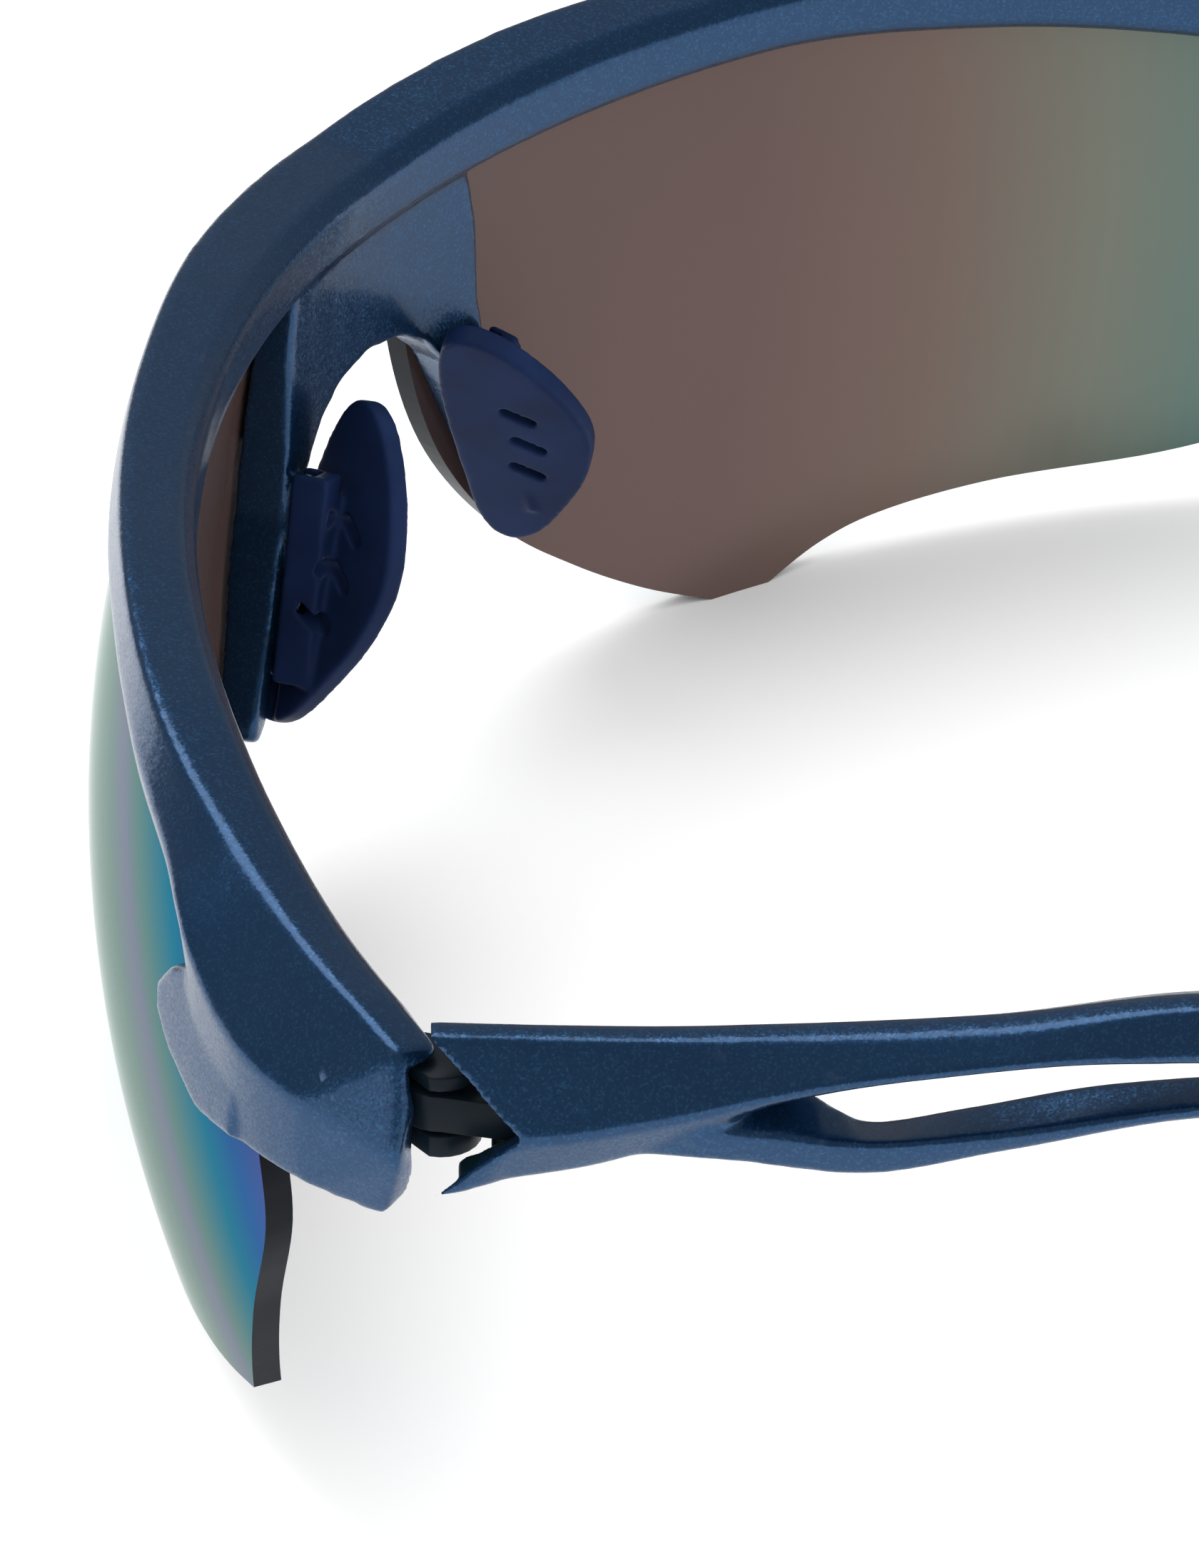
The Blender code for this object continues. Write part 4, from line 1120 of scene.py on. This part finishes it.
@dataclass
class Temple:
    """A forked arm with a V-shaped hollow mouth, and the rubber tip on its rear end."""

    hinge: Hinge
    fold: dict[Side, float] = field(default_factory=lambda: {Side.LEFT: math.radians(34), Side.RIGHT: 0.0})
    outer_w: float = 4.9
    inner_w: float = 0.4
    stations: Sequence[float] = (-1.4, 1, 4, 7, 10, 13.5, 17, 21, 26, 32, 37, 43, 49, 54, 58)
    top: Knots = ((-1.4, 36.55), (3, 36.4), (10, 36.3), (17, 36.5), (26, 37.1), (37, 38.5), (45, 38.3),
                  (58, 37.1))
    top_w: Knots = ((-1.4, 2.7), (17, 3.0), (37, 3.7), (58, 4.1))
    crease: Knots = ((-1.4, 31.8), (4, 31.8), (10, 32.8), (17, 34.6), (23, 35.5), (32, 36.35), (42, 36.4),
                     (58, 34.2))
    bottom: Knots = ((-1.4, 28.2), (1, 28.5), (3.4, 28.8), (7.6, 29.6), (12, 31.4), (16, 33.6), (23, 35.0),
                     (32, 35.85), (42, 35.9), (50, 34.0), (58, 30.8))
    bottom_w: Knots = ((-1.4, 4.6), (1, 4.4), (3.4, 3.6), (8, 3.6), (17, 4.5), (58, 4.5))
    lean: Knots = ((-1.4, 0), (20, 0), (21, 0.5), (58, 0.5))
    fork_stations: Sequence[float] = (8.5, 11, 14, 17, 20, 23, 27, 32, 37, 43, 49, 55)
    fork_low: Knots = ((8.5, 30.1), (13, 30.2), (20, 29.6), (27, 30.9), (37, 32.7), (48, 32.8), (55, 31.8))
    fork_face: Knots = ((8.5, 1.4), (14, 1.9), (20, 2.1), (27, 1.3), (34, 0.9), (55, 1.2))
    fork_top: Knots = ((8.5, 32.4), (14, 33.2), (17, 33.0), (20.5, 31.0), (25, 31.8), (32, 33.2),
                       (37, 33.6), (45, 33.8), (50, 34.2), (55, 34.4))
    fork_w: Knots = ((8.5, 3.7), (14, 4.6), (20, 4.9), (55, 4.6))
    fork_inner_w: float = 1.5
    path: Knots = ((63, 33.1), (70, 31.0), (78, 27.6), (86, 22.6), (93.5, 15.7), (99.2, 8.0), (102.2, 1.9))
    height: Knots = ((58, 6.2), (70, 5.6), (86, 5.4), (96, 5.8), (105, 4.6))
    ear_w: Knots = ((58, 4.8), (80, 4.7), (105, 1.6))
    width: Knots = ((58, 3.3), (70, 3.2), (92, 3.4), (105, 2.8))
    tip_rings: Sequence[tuple[float, float]] = ((0.9, 0.1), (1.6, 0.3), (2.0, 0.6))
    floor: Knots = ((-20, 85), (20, 85), (20, 115), (-20, 115))
    core: tuple[float, float] = (2.6, 1.4)
    sleeve_start: int = 1
    core_end: int = 5
    path_steps: int = 6
    mouth: Knots = ((-6, 38), (-2.1, 38), (3.8, 31.8), (-0.7, 28.1), (-1.2, 26.6), (-6, 26.6))
    mouth_sides: tuple[float, float] = (-3.5, 8.0)
    lip_top: float = 30.0
    lip_steps: Knots = ((4.15, 0.8), (2.7, 2.4))
    cavity_front: Knots = ((3.8, 31.8), (2.2, 34.9), (-2.6, 34.9), (-2.6, 29.7), (2.9, 29.7))
    cavity_back: Knots = ((3.8, 31.8), (2.2, 34.9), (1.4, 34.9), (1.4, 30.1), (2.9, 30.1))
    cavity: tuple[float, float, float] = (-4.0, 4.8, 7.6)
    socket_side: tuple[float, float] = (1.4, 3.3)
    socket_end: float = 12.7
    socket_z: tuple[float, float] = (30.2, 32.8)
    # Where the painted shade goes along the slot, and its margin from the slot's edges.
    liner: tuple[float, float] = (24.0, 54.0)
    liner_edge: float = 0.25
    wall: float = 0.7

    def placed(self, side: Side, obj: bpy.types.Object) -> bpy.types.Object:
        """Move a piece from the temple's own frame to its rest place."""
        turn = Matrix.Rotation(side.value * self.fold[side], 4, "Z")
        obj.data.transform(Matrix.Translation(self.hinge.point(side, 0, 0, 0)) @ turn)
        return obj

    def arm_section(self, side: Side, a: float) -> list[Vector]:
        """Place the upper branch's section, or the whole front of the temple."""
        top, bottom = profile(self.top)(a), profile(self.bottom)(a)
        crest = profile(self.top_w)(a)
        points = [(self.outer_w, profile(self.crease)(a)), (crest, top), (crest - 1.4, top),
                  (self.inner_w, top - 1.0), (self.inner_w + profile(self.lean)(a), bottom + 0.7),
                  (self.inner_w + 1.0, bottom), (profile(self.bottom_w)(a), bottom)]
        return [Vector((side.value * w, a, z)) for w, z in points]

    def fork_section(self, side: Side, a: float) -> list[Vector]:
        """Place the lower branch's section, a leaning ribbon."""
        low, outer, top = (profile(knots)(a) for knots in (self.fork_low, self.fork_w, self.fork_top))
        inner = self.fork_inner_w
        points = [(outer - 0.3, low), (outer, low + profile(self.fork_face)(a)), (inner + 0.4, top),
                  (inner, top - 0.6), (inner, low + 0.5), (inner + 0.5, low)]
        return [Vector((side.value * w, a, z)) for w, z in points]

    def frames(self) -> list[tuple[Vector, Vector]]:
        """Give a place and a direction for each step along the ear path."""
        points = [*smooth_run(self.path, self.path_steps), Vector(self.path[-1])]
        last = len(points) - 1
        return [(point, (points[min(i + 1, last)] - points[max(i - 1, 0)]).normalized())
                for i, point in enumerate(points)]

    def ear_section(self, side: Side, place: Vector, along: Vector, size: tuple[float, float],
                    outer: float, inset: float = 0.0) -> list[Vector]:
        """Place a section across the ear path that matches the arm's.

        Args:
            side: The side it is on.
            place: The path's point.
            along: The path's direction.
            size: Its height and width.
            outer: Its outer face's w.
            inset: The share that it shrinks by.

        Returns:
            The section's seven points.
        """
        up = Vector((-along.y, along.x))
        up = up if up.y > 0 else -up
        half, width = size[0] / 2, size[1]
        inner, middle = outer - width, outer - width / 2
        points = [(outer, 0.15 * half), (outer - 0.25 * width, half), (inner + 0.25 * width, half),
                  (inner, 0.5 * half), (inner, -0.5 * half), (inner + 0.25 * width, -half),
                  (outer - 0.15 * width, -half)]
        section = []
        for w, h in points:
            point = place + up * h * (1 - inset)
            section.append(Vector((side.value * (middle + (w - middle) * (1 - inset)), point.x, point.y)))
        return section

    def ear_rings(self, side: Side, first: int, last: int, core: tuple[float, float] | None = None,
                  ) -> list[list[Vector]]:
        """Place sections from one knot of the ear path to another, full size or for a core."""
        rings = []
        for place, along in self.frames()[first * self.path_steps:last * self.path_steps + 1]:
            full, outer = profile(self.width)(place.x), profile(self.ear_w)(place.x)
            if core:
                rings.append(self.ear_section(side, place, along, core, outer - (full - core[1]) / 2))
            else:
                size = profile(self.height)(place.x), full
                rings.append(self.ear_section(side, place, along, size, outer))
        return rings

    def hollows(self, side: Side) -> list[bmesh.types.BMesh]:
        """Make the tools for the mouth, its cavity, the lip and the tongue's socket."""
        start, split, end = self.cavity

        def across(w: float, z: float, a: float) -> Vector:
            """Put a point of a section in the temple's frame."""
            return Vector((side.value * w, a, z))

        inside, top = self.mouth_sides[0], self.lip_top
        steps = [prism([(inside, BELOW), (face, BELOW), (face, top), (inside, top)], start, edge, across)
                 for face, edge in self.lip_steps]
        low, high = self.socket_side
        socket = [(low, end - 1), (high, end - 1), (high, self.socket_end), (low, self.socket_end)]
        return [prism(self.mouth, *self.mouth_sides, lambda a, z, w: Vector((side.value * w, a, z))),
                prism(self.cavity_front, start, split, across),
                prism(self.cavity_back, split - 0.5, end, across),
                *steps,
                prism(socket, *self.socket_z, lambda w, a, z: Vector((side.value * w, a, z)))]

    def mark_liner(self, side: Side, arm: bpy.types.Object) -> None:
        """Give the mouth's inside and the fork's leaning inner face the second material, the painted shade."""
        low, face, end = profile(self.fork_low), profile(self.fork_face), profile(self.bottom)
        top, crest, crease = profile(self.top), profile(self.top_w), profile(self.crease)
        foot = profile(self.bottom_w)
        for polygon in arm.data.polygons:
            w, a, z = polygon.center
            inside = self.liner[0] < a < self.liner[1] and low(a) + face(a) + self.liner_edge < z
            slot = inside and z < end(a) - self.liner_edge and side.value * polygon.normal.x > -0.5
            line = ((end(a), foot(a)), (crease(a), self.outer_w), (top(a), crest(a)))
            upper = z > crease(a)
            (low_z, low_w), (high_z, high_w) = line[upper:upper + 2]
            skin = low_w + (high_w - low_w) * (z - low_z) / (high_z - low_z)
            depth = min(skin - side.value * w, side.value * w - self.inner_w + self.wall / 2,
                        z - end(a), top(a) - z)
            # Faces in the slot, and those deep inside the mouth, take the painted shade.
            polygon.material_index = int(slot or (a < self.cavity[2] + GAP and depth > self.wall))

    def build(self, side: Side, paint: bpy.types.Material, liner: bpy.types.Material) -> bpy.types.Object:
        """Build and paint one arm.

        Args:
            side: The side it is on.
            paint: Its finish.
            liner: The painted shade inside its slot and mouth.

        Returns:
            The finished piece.
        """
        cell = 0.17
        rings = [self.arm_section(side, a) for a in spread(self.stations, 1.2)]
        rings += self.ear_rings(side, 0, self.sleeve_start)
        arm = new_object("arm", loft(rings))
        fork = loft([self.fork_section(side, a) for a in spread(self.fork_stations, 1.2)])
        combine(arm, new_object("fork", fork), Cut.JOIN)
        mould(arm, cell, 22, 1.0)
        core = loft(self.ear_rings(side, 0, self.core_end, self.core))
        combine(arm, new_object("core", core), Cut.JOIN)
        for tool in self.hollows(side):
            combine(arm, new_object("hollow", tool), Cut.REMOVE)
        mould(arm, cell, 3, 0.4)
        self.mark_liner(side, arm)
        name = f"temple_{side.word}"
        return finish_piece(self.placed(side, arm), name, name, [paint, liner], 60)

    def build_tip(self, side: Side, rubber: bpy.types.Material) -> bpy.types.Object:
        """Build and dress one ear tip.

        Args:
            side: The side it is on.
            rubber: Its finish.

        Returns:
            The finished piece.
        """
        rings = self.ear_rings(side, self.sleeve_start, len(self.path) - 1)
        place, along = self.frames()[-1]
        size = profile(self.height)(place.x), profile(self.width)(place.x)
        outer = profile(self.ear_w)(place.x)
        for reach, inset in self.tip_rings:
            rings.append(self.ear_section(side, place + along * reach, along, size, outer, inset))
        shift = self.frames()[self.sleeve_start * self.path_steps][1] * GAP
        rings[0] = [point + Vector((0, shift.x, shift.y)) for point in rings[0]]
        tip = new_object("tip", loft(rings))
        cell = 0.2
        mould(tip, cell, 14, 1.0)
        core = self.core[0] + 2 * GAP, self.core[1] + 2 * GAP
        hollow = loft(self.ear_rings(side, self.sleeve_start - 1, self.core_end, core))
        combine(tip, new_object("hollow", hollow), Cut.REMOVE)
        flat = prism(self.floor, -BELOW, 0.0, lambda w, a, z: Vector((w, a, z)))
        combine(tip, new_object("flat", flat), Cut.REMOVE)
        mould(tip, cell, 2, 0.4)
        body = f"temple_{side.word}"
        return finish_piece(self.placed(side, tip), f"ear_tip_{side.word}", body, [rubber], 60)


@dataclass
class Studio:
    """A pale floor, a soft overhead light and the camera."""

    floor_size: float = 6.0
    floor_colour: Colour = (0.95, 0.95, 0.95, 1.0)
    sky: float = 1.2
    sky_in_gloss: float = 0.3
    key_power: float = 6.0
    key_size: float = 0.9
    key_place: tuple[float, float, float] = (-0.1, -0.5, 1.0)
    camera_place: tuple[float, float, float] = (374.069, 177.436, 284.373)
    camera_right: tuple[float, float, float] = (-0.53930542, 0.84204099, 0.01079986)
    camera_up: tuple[float, float, float] = (-0.44664203, -0.29688787, 0.84401924)
    camera_ahead: tuple[float, float, float] = (-0.71390515, -0.45036048, -0.53620414)
    lens: float = 214.15
    sensor: float = 36.0

    def build(self) -> None:
        """Set up the floor, lights, world and camera."""
        scene = bpy.context.scene
        scene.view_settings.view_transform = "Standard"
        bm = bmesh.new()
        bmesh.ops.create_grid(bm, x_segments=1, y_segments=1, size=self.floor_size / 2)
        floor = new_object("floor", bm)
        paper = bpy.data.materials.new("paper")
        paper.use_nodes = True
        shader = paper.node_tree.nodes["Principled BSDF"]
        shader.inputs["Base Color"].default_value = self.floor_colour
        shader.inputs["Roughness"].default_value = 0.9
        shader.inputs["Specular IOR Level"].default_value = 0.1
        floor.data.materials.append(paper)
        self.light_world(scene)
        self.add_key()
        self.add_camera(scene)

    def light_world(self, scene: bpy.types.Scene) -> None:
        """Light the scene evenly from above, and dim what glossy surfaces see of it."""
        world = bpy.data.worlds.new("soft_sky")
        scene.world = world
        world.use_nodes = True
        writer = Writer(world.node_tree)
        rays = writer.add("ShaderNodeLightPath")
        strength = writer.add("ShaderNodeMapRange")
        strength.inputs["To Min"].default_value = self.sky
        strength.inputs["To Max"].default_value = self.sky_in_gloss
        writer.join(rays.outputs["Is Glossy Ray"], strength.inputs["Value"])
        background = world.node_tree.nodes["Background"]
        background.inputs["Color"].default_value = (1, 1, 1, 1)
        writer.join(strength.outputs["Result"], background.inputs["Strength"])

    def add_key(self) -> None:
        """Hang the overhead softbox."""
        light = bpy.data.lights.new("softbox", "AREA")
        light.shape = "DISK"
        light.size = self.key_size
        light.energy = self.key_power
        lamp = bpy.data.objects.new("softbox", light)
        lamp.location = self.key_place
        lamp.rotation_euler = Vector(self.key_place).to_track_quat("Z", "Y").to_euler()
        bpy.context.scene.collection.objects.link(lamp)

    def add_camera(self, scene: bpy.types.Scene) -> None:
        """Place the camera."""
        data = bpy.data.cameras.new("camera")
        data.lens = self.lens
        data.sensor_width = self.sensor
        camera = bpy.data.objects.new("camera", data)
        axes = Matrix((self.camera_right, self.camera_up, [-c for c in self.camera_ahead])).transposed()
        camera.matrix_world = Matrix.Translation(Vector(self.camera_place) * MM) @ axes.to_4x4()
        scene.collection.objects.link(camera)
        scene.camera = camera


def main() -> None:
    """Build every piece round the frame and set up the studio."""
    logging.basicConfig(level=logging.INFO, format="%(message)s")
    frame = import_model()
    nodes = frame["nodes"]
    curve = FaceCurve()
    lens = Lens(curve)
    hinge = Hinge(curve)
    front = Front(curve)
    pad = NosePad(curve, front)
    temple = Temple(hinge)
    paint, rubber = FlakePaint().material(), Rubber().material()
    coats = [MirrorCoat().material(), TintedFace().material(), LensEdge().material()]
    # The last of these is painted shade for the temples' slots and mouths.
    nylon, steel, liner = Nylon().material(), Steel().material(), SlotLiner().material()
    front.build(lens, pad, hinge, paint)
    for side in Side:
        word = side.word
        lens.build(side, coats)
        pad.build(side, rubber)
        temple.build(side, paint, liner)
        temple.build_tip(side, rubber)
        for kind, body, slot, material in (("hinge_block", "front", "hinge_black", nylon),
                                           ("hinge_tongue", f"temple_{word}", "hinge_black", nylon),
                                           ("hinge_screw", "front", "screw_steel", steel),
                                           ("hinge_nut", "front", "screw_steel", steel)):
            name = f"{kind}_{word}"
            hinge.dress(nodes[name], name, body, material)
    Studio().build()


if __name__ == "__main__":
    main()
